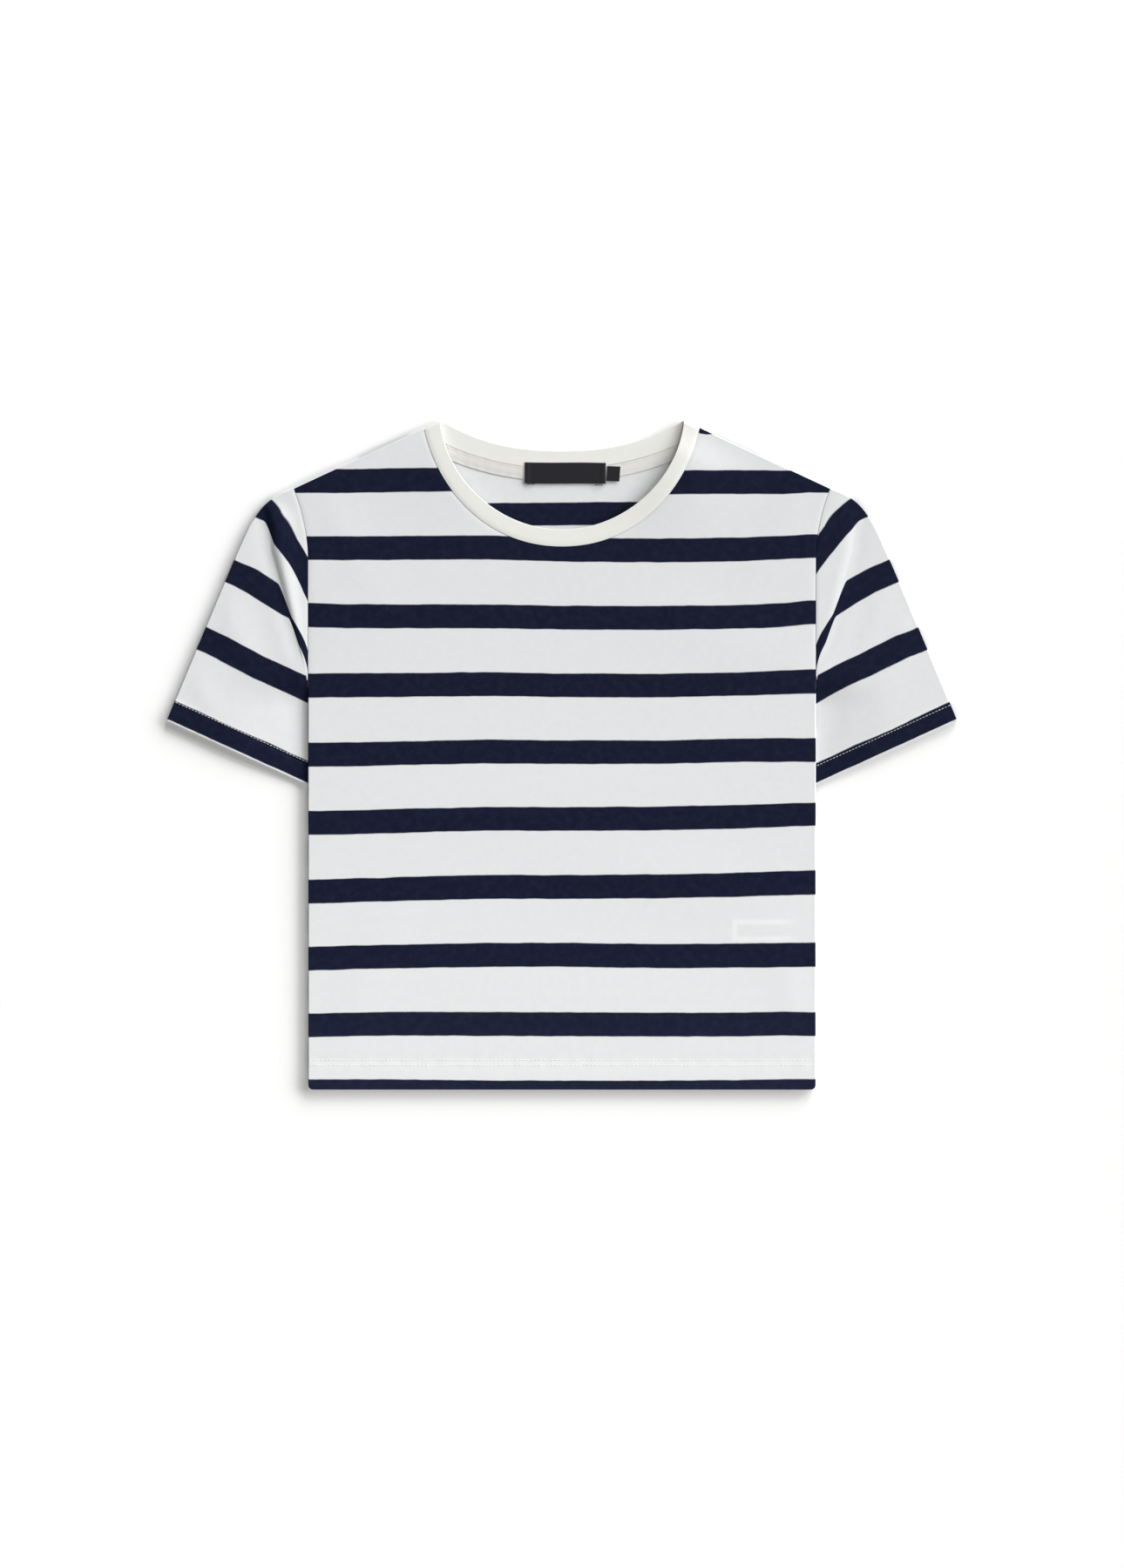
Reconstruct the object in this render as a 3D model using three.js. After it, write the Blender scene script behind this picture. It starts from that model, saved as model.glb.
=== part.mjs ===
import * as THREE from "three";

// A cropped T-shirt laid flat on its back, front upwards. Millimetres: +X to the right as it is
// looked at, +Y towards the neck, +Z up from the surface that it lies on.

// Outline of the body
const HEM_Y = -258;
const BODY_HALF = 195;
const NECK_POINT = { x: 94, y: 258 };
const NECK_SEAM_X = 106.2;
const SHOULDER_DROP = 0.467;
const ARMHOLE_BEND_Y = 150;
const ARMHOLE_TOP_Y = 205.6;
const ARMHOLE_FLARE = 11.2;
const ARMPIT_Y = 60;
const HEM_CORNER = 3.4;

// Cloth, and how the layers lie on each other
const CLOTH = 1.0;
const BODY_HEIGHT = 4.0;
const FOLD_REACH = 2.2;
const SIDE_FOLD_START = { from: ARMPIT_Y + 4, to: ARMPIT_Y - 10 };
const SEAM_GAP = 0.3;
const ARMHOLE_GAP = 0.56;

// Turned hem of the body, and how its edge is rounded off
const HEM_DEPTH = 21;
const HEM_EXTRA = 0.6;
const HEM_STEP = 1.4;
const EDGE_ROUND = 0.8;
const EDGE_LOWER = 0.35;
const EDGE_THINNER = 0.6;

// Neckband, a doubled rib
const BAND_HEIGHT = 4.3;
const BAND_CLOTH = 1.7;
const BAND_FOLD_REACH = 2.4;
const BAND_EDGE_REACH = 1.1;
const BAND_EDGE_SHARE = 0.4;

// Sleeves, which lie lower than the body and are tucked under its side edges
const SLEEVE_HEM = { x: 305, y: 27.4 };
const SLEEVE_HEM_HIDDEN = { x: 164.4, y: -36.5 };
const UNDERARM_OUT = { x: 195.9, y: 50 };
const UNDERARM_MIDDLE = { x: 181.7, y: 11 };
const SLEEVE_HEIGHT = 3.5;
const SLEEVE_SETTLE = 40;
const SLEEVE_HEM_DEPTH = 14;
const SLEEVE_HEM_EXTRA = 0.3;
const SLEEVE_EDGE_LOWER = 0.25;
const SLEEVE_FOLDS_START = { seam: { from: 4, to: 20 }, head: { from: 0, to: 16 } };

// The soft roll of the sleeve beside the armhole, and the crease along it
const ROLL = { rise: 1.9, width: 28, taper: 0.28, least: 4, below: 3, peak: 1.6 };
const ROLL_BOTTOM = { from: 64, to: 84 };
const ROLL_TOP = { from: 200, to: 180 };
const CREASE = { dip: 0.6, away: 4, width: 6 };

// Where the sleeve is tucked in: its height there, how high it lifts the body, the height of the
// body's layers pressed together, and how these settle round the tucked part
const TUCK_HEIGHT = 2.3;
const TUCK_LIFT = 3.2;
const TUCK_BODY = 2.4;
const TUCK_INWARDS = { from: -46, to: -16 };
const TUCK_TOP = { from: ARMPIT_Y, to: 47 };
const TUCK_BOTTOM = { from: -42, to: -14 };
const TUCKED_SLEEVE_TOP = { from: ARMPIT_Y + 2, to: 46 };
const TUCKED_SLEEVE_OUT = { from: 24, to: 5 };

// Neck lines of the right half, as cubic curves: they leave the centre level at centreY, keep
// level as far as levelX, and come to the neck point from the direction of (pullX, pullY)
const NECK_LINES = {
  frontEdge: { centreY: 175.4, levelX: 50.1, pullX: 80.1, pullY: 211.4, endX: NECK_POINT.x },
  frontSeam: { centreY: 161.2, levelX: 58.9, pullX: 96.8, pullY: 205.7, endX: NECK_SEAM_X },
  backEdge: { centreY: 233.5, levelX: 55.2, pullX: 76.4, pullY: 249.4, endX: NECK_POINT.x },
  backSeam: { centreY: 220.8, levelX: 52.5, pullX: 97.5, pullY: 239.3, endX: NECK_SEAM_X },
};

// Top fold of the sleeve, from the armhole over the sleeve head to the hem
const SLEEVE_HEAD = [
  { x: 206.7, y: 205.4 },
  { x: 217.6, y: 200.9 },
  { x: 228.3, y: 193.5 },
  { x: 239.0, y: 179.5 },
  { x: 248.0, y: 161.0 },
  { x: 276.5, y: 94.2 },
  SLEEVE_HEM,
];

// Soft folds of the front: middle, turn from +X in degrees, half length, half width and rise
const FRONT_FOLDS = [
  { x: -120, y: 118, turn: 24, length: 95, width: 26, rise: 0.8 },
  { x: 112, y: 96, turn: -20, length: 90, width: 24, rise: 0.7 },
  { x: -40, y: -30, turn: 6, length: 120, width: 34, rise: 0.7 },
  { x: 96, y: -100, turn: -12, length: 80, width: 26, rise: 0.8 },
  { x: -150, y: -170, turn: 68, length: 60, width: 16, rise: 0.7 },
  { x: 176, y: -178, turn: -70, length: 50, width: 14, rise: 0.6 },
  { x: 10, y: -190, turn: 2, length: 140, width: 30, rise: 0.5 },
  { x: -168, y: 168, turn: -62, length: 46, width: 15, rise: 0.7 },
  { x: 166, y: 172, turn: 60, length: 46, width: 15, rise: 0.6 },
];
const FRONT_FOLDS_INSET = { side: 22, shoulder: 18, hem: 30 };

// Soft folds of each sleeve, with x counted outwards from the middle of the body
const SLEEVE_FOLDS = {
  left: [
    { x: 246, y: 84, turn: 64, length: 60, width: 13, rise: 0.8 },
    { x: 214, y: 22, turn: 72, length: 36, width: 8, rise: 0.6 },
    { x: 276, y: 46, turn: 60, length: 34, width: 10, rise: 0.5 },
  ],
  right: [
    { x: 232, y: 76, turn: 70, length: 58, width: 11, rise: 0.8 },
    { x: 262, y: 88, turn: 62, length: 60, width: 13, rise: 0.7 },
    { x: 216, y: 14, turn: 66, length: 34, width: 8, rise: 0.6 },
  ],
};

// Where the collar stands up from the layer below it
const COLLAR_RISES = [
  { x: 86, y: 222, reach: 44, rise: 1.8 },
  { x: -86, y: 222, reach: 36, rise: 0.6 },
];
const COLLAR_RISE_RUN = 26;

// What is sewn inside the back: the tape over the neck seam, and the labels
const TAPE = { width: 9.8, end: 0.8, low: 1.3, high: 2.3, steps: 11 };
const MAIN_LABEL = { x: 2.5, y: 217.4, width: 62.4, depth: 16.2, low: 2.6, high: 3.6, turn: -0.6 };
const SIZE_LABEL = { x: 39.6, y: 216.9, width: 10.2, depth: 11.5, low: 2.6, high: 3.6, turn: -4 };
const CARE_LABEL = { x: 161.6, y: -136.7, width: 61, depth: 20, low: 1.3, high: 2.3, turn: 0 };

const COLOURS = {
  cloth: { color: "#e5e6e8", roughness: 0.9, metalness: 0 },
  rib: { color: "#e8e7e2", roughness: 0.92, metalness: 0 },
  tape: { color: "#e3e2de", roughness: 0.92, metalness: 0 },
  label: { color: "#2c2b31", roughness: 0.45, metalness: 0 },
  care: { color: "#f2f2f0", roughness: 0.6, metalness: 0 },
};

// Soft step from 0 to 1 as a value goes from one end of a range to the other
function smooth({ from, to }, value) {
  const t = Math.min(1, Math.max(0, (value - from) / (to - from)));
  return t * t * (3 - 2 * t);
}

// The same step over a reach that starts at zero
function within(reach, value) {
  return smooth({ from: 0, to: reach }, value);
}

function mix(a, b, share) {
  return a + (b - a) * share;
}

// Height of a rounded fold, as a share of the full height, at a distance from its edge
function foldRise(distance, reach) {
  const out = 1 - Math.min(reach, Math.max(0, distance)) / reach;
  return Math.sqrt(1 - out * out);
}

// How far the inside of a rounded fold lies behind its outside, as a share of the wall
function foldInset(distance, reach) {
  return 1 - Math.min(reach, Math.max(0, distance)) / reach;
}

function neckLine({ centreY, levelX, pullX, pullY, endX }) {
  return new THREE.CubicBezierCurve(
    new THREE.Vector2(0, centreY),
    new THREE.Vector2(levelX, centreY),
    new THREE.Vector2(pullX, pullY),
    new THREE.Vector2(endX, shoulderY(endX)),
  );
}

// The fold of the shoulders, one straight line on each side
function shoulderY(x) {
  return NECK_POINT.y - SHOULDER_DROP * (Math.abs(x) - NECK_POINT.x);
}

const SHOULDER_NORMAL = new THREE.Vector2(SHOULDER_DROP, 1).normalize();

function shoulderDistance(x, y) {
  return (shoulderY(x) - y) * SHOULDER_NORMAL.y;
}

// The side of the body: straight from hem to armpit, then the armhole, flaring to the shoulder
function sideX(y) {
  const flare = Math.max(0, y - ARMHOLE_BEND_Y) / (ARMHOLE_TOP_Y - ARMHOLE_BEND_Y);
  const corner = Math.max(0, HEM_CORNER - (y - HEM_Y)) / HEM_CORNER;
  return BODY_HALF + ARMHOLE_FLARE * flare ** 2 - HEM_CORNER * (1 - Math.sqrt(1 - corner ** 2));
}

function foldsHeight(folds, x, y) {
  let height = 0;
  for (const fold of folds) {
    const turn = THREE.MathUtils.degToRad(fold.turn);
    const along = (x - fold.x) * Math.cos(turn) + (y - fold.y) * Math.sin(turn);
    const across = (y - fold.y) * Math.cos(turn) - (x - fold.x) * Math.sin(turn);
    height += fold.rise * Math.exp(-((along / fold.length) ** 2) - (across / fold.width) ** 2);
  }
  return height;
}

// Line of the hidden underarm fold, below the body's side edge
function underarmX(y) {
  const run = (y - SLEEVE_HEM_HIDDEN.y) / (UNDERARM_OUT.y - SLEEVE_HEM_HIDDEN.y);
  return mix(SLEEVE_HEM_HIDDEN.x, UNDERARM_OUT.x, run);
}

function sleeveHemY(x) {
  const run = (x - SLEEVE_HEM_HIDDEN.x) / (SLEEVE_HEM.x - SLEEVE_HEM_HIDDEN.x);
  return mix(SLEEVE_HEM_HIDDEN.y, SLEEVE_HEM.y, run);
}

// How far the body lies on a tucked sleeve, from 0 beside it to 1 on it
function tuckShare(x, y) {
  const out = Math.abs(x);
  const inwards = smooth(TUCK_INWARDS, out - underarmX(y));
  return inwards * smooth(TUCK_TOP, y) * smooth(TUCK_BOTTOM, y - sleeveHemY(out));
}

// Extra height of the front and of the collar over their plain flat shape
function frontRelief(x, y) {
  const fade = within(COLLAR_RISE_RUN, shoulderDistance(x, y));
  let rise = 0;
  for (const bump of COLLAR_RISES) {
    const away = Math.hypot(x - bump.x, y - bump.y) / bump.reach;
    rise += bump.rise * Math.exp(-(away ** 2)) * fade;
  }
  const { side, shoulder, hem } = FRONT_FOLDS_INSET;
  const across = within(side, sideX(y) - Math.abs(x));
  const along = within(shoulder, shoulderDistance(x, y)) * within(hem, y - HEM_Y);
  return rise + foldsHeight(FRONT_FOLDS, x, y) * across * along;
}

// One closed body from two grids of points, the outside and the inside of a wall. The rows join
// end to end where the piece is a tube, or its columns do where it is a ring.
function wall(outer, inner, { tube = false, ring = false } = {}) {
  const rows = outer.length;
  const columns = outer[0].length;
  const positions = [...outer.flat(), ...inner.flat()].flatMap((p) => [p.x, p.y, p.z]);
  const index = [];
  const at = (row, column, side) =>
    side * rows * columns + (row % rows) * columns + (column % columns);
  const quad = (...corners) => {
    const [a, b, c, d] = corners.map(([row, column, side]) => at(row, column, side));
    index.push(a, b, c, a, c, d);
  };
  const rowSteps = ring ? rows : rows - 1;
  const columnSteps = tube ? columns : columns - 1;
  for (let row = 0; row < rowSteps; row += 1) {
    for (let column = 0; column < columnSteps; column += 1) {
      const [down, right] = [row + 1, column + 1];
      quad([row, column, 0], [row, right, 0], [down, right, 0], [down, column, 0]);
      quad([row, column, 1], [down, column, 1], [down, right, 1], [row, right, 1]);
    }
  }
  if (!ring) {
    for (let column = 0; column < columnSteps; column += 1) {
      const [last, right] = [rows - 1, column + 1];
      quad([0, column, 0], [0, column, 1], [0, right, 1], [0, right, 0]);
      quad([last, column, 0], [last, right, 0], [last, right, 1], [last, column, 1]);
    }
  }
  if (!tube) {
    for (let row = 0; row < rowSteps; row += 1) {
      const [last, down] = [columns - 1, row + 1];
      quad([row, 0, 0], [down, 0, 0], [down, 0, 1], [row, 0, 1]);
      quad([row, last, 0], [row, last, 1], [down, last, 1], [down, last, 0]);
    }
  }
  return closedGeometry(positions, index);
}

// Turns the faces outwards where the grid ran the other way
function closedGeometry(positions, index) {
  const point = (i) => new THREE.Vector3(positions[3 * i], positions[3 * i + 1], positions[3 * i + 2]);
  let volume = 0;
  for (let i = 0; i < index.length; i += 3) {
    volume += point(index[i]).dot(point(index[i + 1]).cross(point(index[i + 2])));
  }
  if (volume < 0) index.reverse();
  const geometry = new THREE.BufferGeometry();
  geometry.setAttribute("position", new THREE.Float32BufferAttribute(positions, 3));
  geometry.setIndex(index);
  geometry.computeVertexNormals();
  return geometry;
}

// Columns of a body panel, from the left side edge to the right one
const EDGE_INSETS = [0, 0.4, 1.1, FOLD_REACH];
const SHOULDER_COLUMNS = [176, 156, 136, 120];
const NECK_STEPS = [1, 0.975, 0.9, 0.8, 0.68, 0.54, 0.38, 0.19];

function panelColumns(seam) {
  const right = [
    ...EDGE_INSETS.map((inset) => ({ base: BODY_HALF, inset })),
    ...SHOULDER_COLUMNS.map((base) => ({ base, inset: 0 })),
    ...NECK_STEPS.map((step) => {
      const { x, y } = seam.getPoint(step);
      return { base: x, inset: 0, top: y };
    }),
  ];
  const centre = { base: 0, inset: 0, top: seam.getPoint(0).y };
  const mirrored = right.map((column) => ({ ...column, side: -1 }));
  return [...mirrored, { ...centre, side: 1 }, ...right.map((c) => ({ ...c, side: 1 })).reverse()];
}

function columnX({ base, inset, side }, y) {
  const flared = smooth({ from: NECK_SEAM_X, to: BODY_HALF }, base);
  return side * (base * mix(1, sideX(y) / BODY_HALF, flared) - inset);
}

// The shoulder line and the columns lean on each other, so the end of a column is found in turns
const COLUMN_TURNS = 8;

function columnTop(column) {
  if (column.top !== undefined) return column.top;
  let y = ARMHOLE_TOP_Y;
  for (let turn = 0; turn < COLUMN_TURNS; turn += 1) y = shoulderY(columnX(column, y));
  return y;
}

// Rows of a body panel: level lines up to the chest, then shares of the rest of each column
const LEVEL_ROWS = [
  HEM_Y, HEM_Y + EDGE_ROUND, HEM_Y + HEM_CORNER, HEM_Y + HEM_DEPTH - HEM_STEP, HEM_Y + HEM_DEPTH,
  -200, -156, -112, -78, -56, -40, -24, -4, 20, 38, 47, 54, 61, 80, 104, 128,
];
const UPPER_ROWS = [0.24, 0.48, 0.7, 0.88];
const TOP_INSETS = [2.5, 1.2, 0.4, 0];

function panelRow(column, row) {
  if (row < LEVEL_ROWS.length) return LEVEL_ROWS[row];
  const top = columnTop(column);
  const upper = row - LEVEL_ROWS.length;
  const chest = LEVEL_ROWS[LEVEL_ROWS.length - 1];
  if (upper < UPPER_ROWS.length) {
    return mix(chest, top - TOP_INSETS[0], UPPER_ROWS[upper]);
  }
  return top - TOP_INSETS[upper - UPPER_ROWS.length];
}

// A point on the outside (depth 0) or the inside (depth 1) of a panel. The panel curls to half
// the body's height at its side and shoulder folds, where it meets the other one. The inside of
// the shoulder fold keeps clear of the neckband at one end and of the sleeve at the other.
function panelPoint(x, y, depth, isFront) {
  const tuck = tuckShare(x, y);
  const half = mix(BODY_HEIGHT, TUCK_BODY, tuck) / 2;
  const middle = TUCK_LIFT * tuck + half;
  const below = smooth(SIDE_FOLD_START, y);
  const sideDistance = sideX(y) - Math.abs(x);
  const shoulder = shoulderDistance(x, y);
  const rise = mix(1, foldRise(sideDistance, FOLD_REACH), below) * foldRise(shoulder, FOLD_REACH);
  const hem = smooth({ from: HEM_DEPTH, to: HEM_DEPTH - HEM_STEP }, y - HEM_Y);
  const round = 1 - Math.min(1, (y - HEM_Y) / EDGE_ROUND);
  const thickness = CLOTH + HEM_EXTRA * hem;
  let height = half;
  if (isFront) height += frontRelief(x, y) + (HEM_EXTRA / 2) * hem - EDGE_LOWER * round;
  height -= depth * (thickness - EDGE_THINNER * round);
  const side = Math.sign(x);
  const sideShift = depth * thickness * foldInset(sideDistance, FOLD_REACH) * below;
  const topShift = depth * thickness * foldInset(shoulder, FOLD_REACH);
  const lean = smooth({ from: NECK_SEAM_X, to: BODY_HALF }, Math.abs(x));
  const level = Math.max(SEAM_GAP / 2, height * rise);
  return new THREE.Vector3(
    x - side * (sideShift + topShift * SHOULDER_NORMAL.x * lean),
    y - topShift * mix(1 / SHOULDER_NORMAL.y, SHOULDER_NORMAL.y, lean),
    middle + (isFront ? level : -level),
  );
}

function panel(seam, isFront) {
  const columns = panelColumns(seam);
  const count = LEVEL_ROWS.length + UPPER_ROWS.length + TOP_INSETS.length;
  const face = (depth) =>
    Array.from({ length: count }, (_, row) =>
      columns.map((column) => {
        const y = panelRow(column, row);
        return panelPoint(columnX(column, y), y, depth, isFront);
      }),
    );
  return wall(face(0), face(1));
}

// The underarm fold, from the armpit to the hidden corner of the sleeve hem
const UNDERARM = new THREE.CatmullRomCurve3(
  [
    new THREE.Vector3(BODY_HALF + ARMHOLE_GAP, ARMPIT_Y, 0),
    new THREE.Vector3(UNDERARM_OUT.x, UNDERARM_OUT.y, 0),
    new THREE.Vector3(UNDERARM_MIDDLE.x, UNDERARM_MIDDLE.y, 0),
    new THREE.Vector3(SLEEVE_HEM_HIDDEN.x, SLEEVE_HEM_HIDDEN.y, 0),
  ],
  false,
  "centripetal",
);
const HEAD = new THREE.CatmullRomCurve3(
  SLEEVE_HEAD.map(({ x, y }) => new THREE.Vector3(x, y, 0)),
  false,
  "centripetal",
);
const UNDERARM_STEPS = 24;
const UNDERARM_POINTS = UNDERARM.getSpacedPoints(UNDERARM_STEPS);

// Distance of a place from the underarm fold, and the way from that fold into the sleeve
function underarmDistance(x, y) {
  let best = Infinity;
  const way = new THREE.Vector2(1, 0);
  for (let i = 0; i + 1 < UNDERARM_POINTS.length; i += 1) {
    const a = UNDERARM_POINTS[i];
    const b = UNDERARM_POINTS[i + 1];
    const line = new THREE.Line3(a, b);
    const near = line.closestPointToPoint(new THREE.Vector3(x, y, 0), true, new THREE.Vector3());
    const distance = Math.hypot(x - near.x, y - near.y);
    if (distance < best) {
      best = distance;
      way.set(a.y - b.y, b.x - a.x).normalize();
    }
  }
  return { distance: best, way };
}

// Rings of the sleeve, from the armhole to the hem: the share of the way, then the last ones by
// their distance from the hem's edge
const RING_SHARES = [0, 0.025, 0.055, 0.09, 0.13, 0.17, 0.22, 0.3, 0.42, 0.56, 0.7, 0.85, 1];
const HEM_INSETS = [SLEEVE_HEM_DEPTH, EDGE_ROUND, 0];
const RING_HEAD_INSETS = [0, 0.6, FOLD_REACH];
const RING_SHARES_ACROSS = [0.08, 0.2, 0.34, 0.48, 0.62, 0.76, 0.88];
const RING_UNDERARM_INSETS = [7, 3, 1, 0];

// How far a ring bulges outwards low on the sleeve, and how soon the bulge comes and goes
const RING_BELLY = 16;
const RING_BELLY_PACE = 1.6;

function sleeveRings() {
  const rings = RING_SHARES.map((share) => ({ share, inset: SLEEVE_HEM_DEPTH + HEM_STEP }));
  return [...rings, ...HEM_INSETS.map((inset) => ({ share: 1, inset }))];
}

// The line of a ring over the sleeve, from the top fold to the underarm fold
function ringLine({ share, inset }) {
  const headReach = 1 - inset / HEAD.getLength();
  const underReach = 1 - inset / UNDERARM.getLength();
  const top = HEAD.getPointAt(headReach * share);
  const bottom = UNDERARM.getPointAt(underReach * share);
  const armhole = (1 - share) ** 3;
  const belly = RING_BELLY * Math.sin(Math.PI * Math.min(1, share * RING_BELLY_PACE)) ** 2;
  return (run) => {
    const y = mix(HEAD.getPointAt(0).y, ARMPIT_Y, run);
    const chord = mix(HEAD.getPointAt(0).x, BODY_HALF + ARMHOLE_GAP, run);
    const seam = sideX(y) + ARMHOLE_GAP - chord;
    const bend = belly * 4 * run ** 3 * (1 - run);
    return new THREE.Vector2(
      mix(top.x, bottom.x, run) + seam * armhole + bend,
      mix(top.y, bottom.y, run),
    );
  };
}

// Height of the sleeve's upper face: level with the body at the armhole, a soft roll between
// the armhole and the crease beside it, lower further out, and lowest where it is tucked in
function sleeveTop(x, y, hem, folds) {
  const out = x - sideX(y);
  const width = Math.min(ROLL.width, ROLL.taper * Math.max(ROLL.least, y - ARMPIT_Y + ROLL.below));
  const roll = Math.min(1, Math.max(0, out / width));
  const ends = smooth(ROLL_BOTTOM, y) * smooth(ROLL_TOP, y);
  const plain = mix(BODY_HEIGHT, SLEEVE_HEIGHT, within(SLEEVE_SETTLE, out));
  const raised = ROLL.rise * Math.sin(Math.PI * roll ** ROLL.peak) * ends;
  const dip = CREASE.dip * Math.exp(-(((out - width - CREASE.away) / CREASE.width) ** 2)) * ends;
  const { seam, head } = SLEEVE_FOLDS_START;
  const relief = foldsHeight(folds, x, y) * smooth(seam, out) * smooth(head, headDistance(x, y));
  const tucked = smooth(TUCKED_SLEEVE_TOP, y) * smooth(TUCKED_SLEEVE_OUT, out);
  const height = plain + raised - dip + relief + SLEEVE_HEM_EXTRA * hem;
  return mix(height, TUCK_HEIGHT + 2 * SLEEVE_HEM_EXTRA * hem, tucked);
}

// Distance inwards from the straight part of the top fold, carried on upwards
function headDistance(x, y) {
  const [shoulder] = SLEEVE_HEAD.slice(-3);
  const lean = (SLEEVE_HEM.x - shoulder.x) / (shoulder.y - SLEEVE_HEM.y);
  return (SLEEVE_HEM.x - lean * (y - SLEEVE_HEM.y) - x) / Math.hypot(1, lean);
}

// A small run along a ring, for the way that the ring takes
const RING_AHEAD = 0.02;

function sleeve(side, folds) {
  const faces = [[], []];
  for (const ring of sleeveRings()) {
    const line = ringLine(ring);
    const length = line(0).distanceTo(line(1));
    const runs = [
      ...RING_HEAD_INSETS.map((inset) => inset / length),
      ...RING_SHARES_ACROSS,
      ...RING_UNDERARM_INSETS.map((inset) => 1 - inset / length),
    ];
    const hem = smooth({ from: SLEEVE_HEM_DEPTH + HEM_STEP, to: SLEEVE_HEM_DEPTH }, ring.inset);
    const lower = ring.inset === 0 ? SLEEVE_EDGE_LOWER : 0;
    for (const depth of [0, 1]) {
      const wallHere = (CLOTH + SLEEVE_HEM_EXTRA * hem) * depth;
      const over = [];
      const under = [];
      runs.forEach((run) => {
        const place = line(run);
        const top = sleeveTop(place.x, place.y, hem, folds);
        const middle = top / 2;
        const arm = underarmDistance(place.x, place.y);
        const head = run * length;
        const rise = foldRise(head, FOLD_REACH) * foldRise(arm.distance, FOLD_REACH);
        const ahead = line(Math.min(1, run + RING_AHEAD));
        const way = ahead.sub(line(Math.min(1 - RING_AHEAD, run))).normalize();
        place.addScaledVector(way, wallHere * foldInset(head, FOLD_REACH));
        place.addScaledVector(arm.way, wallHere * foldInset(arm.distance, FOLD_REACH));
        const half = middle - wallHere - lower * (1 - 2 * depth);
        over.push(new THREE.Vector3(side * place.x, place.y, middle + half * rise));
        under.push(new THREE.Vector3(side * place.x, place.y, middle - half * rise));
      });
      faces[depth].push([...over, ...under.slice(1, -1).reverse()]);
    }
  }
  return wall(faces[0], faces[1], { tube: true });
}

// Stations round the neckband and columns across it, from the free edge to the seam
const BAND_FOLD_INSETS = [BAND_FOLD_REACH, 1.2, 0.4];
const BAND_ACROSS = [0, 0.04, 0.14, 0.5, 0.8, 1];
const STEP_HALVINGS = 30;

// The step along a neck line at which the band is a given distance from the shoulder fold
function stepAtInset(edge, seam, inset) {
  let low = 0;
  let high = 1;
  for (let turn = 0; turn < STEP_HALVINGS; turn += 1) {
    const step = (low + high) / 2;
    const middle = edge.getPoint(step).add(seam.getPoint(step)).multiplyScalar(0.5);
    if (shoulderDistance(middle.x, middle.y) > inset) low = step;
    else high = step;
  }
  return low;
}

// A point on the outside (depth 0) or the inside (depth 1) of the band, whose sewn edge keeps
// the seam gap square to the seam line
function bandPoint(edge, seam, step, share, depth, side, isFront) {
  const free = edge.getPoint(step);
  const seamWay = seam.getTangent(step);
  const sewn = seam.getPoint(step);
  sewn.add(new THREE.Vector2(-seamWay.y, seamWay.x).multiplyScalar(SEAM_GAP));
  const width = free.distanceTo(sewn);
  const place = free.clone().lerp(sewn, share);
  const x = side * place.x;
  const distance = shoulderDistance(x, place.y);
  const rise = foldRise(distance, BAND_FOLD_REACH);
  const shift = depth * BAND_CLOTH * foldInset(distance, BAND_FOLD_REACH);
  const along = edge.getTangent(step).lerp(seamWay, share).normalize();
  const middle = BAND_HEIGHT / 2;
  const relief = isFront ? frontRelief(x, place.y) : 0;
  const edgeRise = mix(BAND_EDGE_SHARE, 1, foldRise(share * width, BAND_EDGE_REACH));
  const centre = middle + relief - BAND_CLOTH / 2;
  const level = (centre + (0.5 - depth) * BAND_CLOTH * edgeRise) * rise;
  return new THREE.Vector3(
    x - side * shift * along.x,
    place.y - shift * along.y,
    middle + (isFront ? level : -level),
  );
}

function neckband(lines) {
  const halves = [
    { edge: lines.frontEdge, seam: lines.frontSeam, isFront: true },
    { edge: lines.backEdge, seam: lines.backSeam, isFront: false },
  ].map((half) => {
    const level = [...NECK_STEPS.slice(1), 0].reverse();
    const bent = BAND_FOLD_INSETS.map((inset) => stepAtInset(half.edge, half.seam, inset));
    return { ...half, steps: [...level, ...bent] };
  });
  const [front, back] = halves;
  const stations = [
    ...front.steps.map((step) => ({ ...front, step, side: 1 })),
    { ...front, step: 1, side: 1 },
    ...back.steps.map((step) => ({ ...back, step, side: 1 })).reverse(),
    ...back.steps.slice(1).map((step) => ({ ...back, step, side: -1 })),
    { ...back, step: 1, side: -1 },
    ...front.steps.slice(1).map((step) => ({ ...front, step, side: -1 })).reverse(),
  ];
  const face = (depth) =>
    stations.map(({ edge, seam, step, side, isFront }) =>
      BAND_ACROSS.map((share) => bandPoint(edge, seam, step, share, depth, side, isFront)),
    );
  return wall(face(0), face(1), { ring: true });
}

// The tape follows the back neck seam, lying on the inside of the back
function neckTape(seam) {
  const rows = [[], []];
  for (let i = -TAPE.steps; i <= TAPE.steps; i += 1) {
    const step = (TAPE.end * Math.abs(i)) / TAPE.steps;
    const side = i < 0 ? -1 : 1;
    const place = seam.getPoint(step);
    const along = seam.getTangent(step);
    [SEAM_GAP, SEAM_GAP + TAPE.width].forEach((away, row) => {
      const x = side * (place.x + along.y * away);
      rows[row].push(new THREE.Vector3(x, place.y - along.x * away, 0));
    });
  }
  const raised = (z) => rows.map((row) => row.map((p) => new THREE.Vector3(p.x, p.y, z)));
  return wall(raised(TAPE.high), raised(TAPE.low));
}

function named(name, geometry, material) {
  const mesh = new THREE.Mesh(geometry, new THREE.MeshStandardMaterial(material));
  mesh.name = name;
  return mesh;
}

function label(name, { x, y, width, depth, low, high, turn }, material) {
  const mesh = named(name, new THREE.BoxGeometry(width, depth, high - low), material);
  mesh.position.set(x, y, (low + high) / 2);
  mesh.rotation.z = THREE.MathUtils.degToRad(turn);
  return mesh;
}

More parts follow.
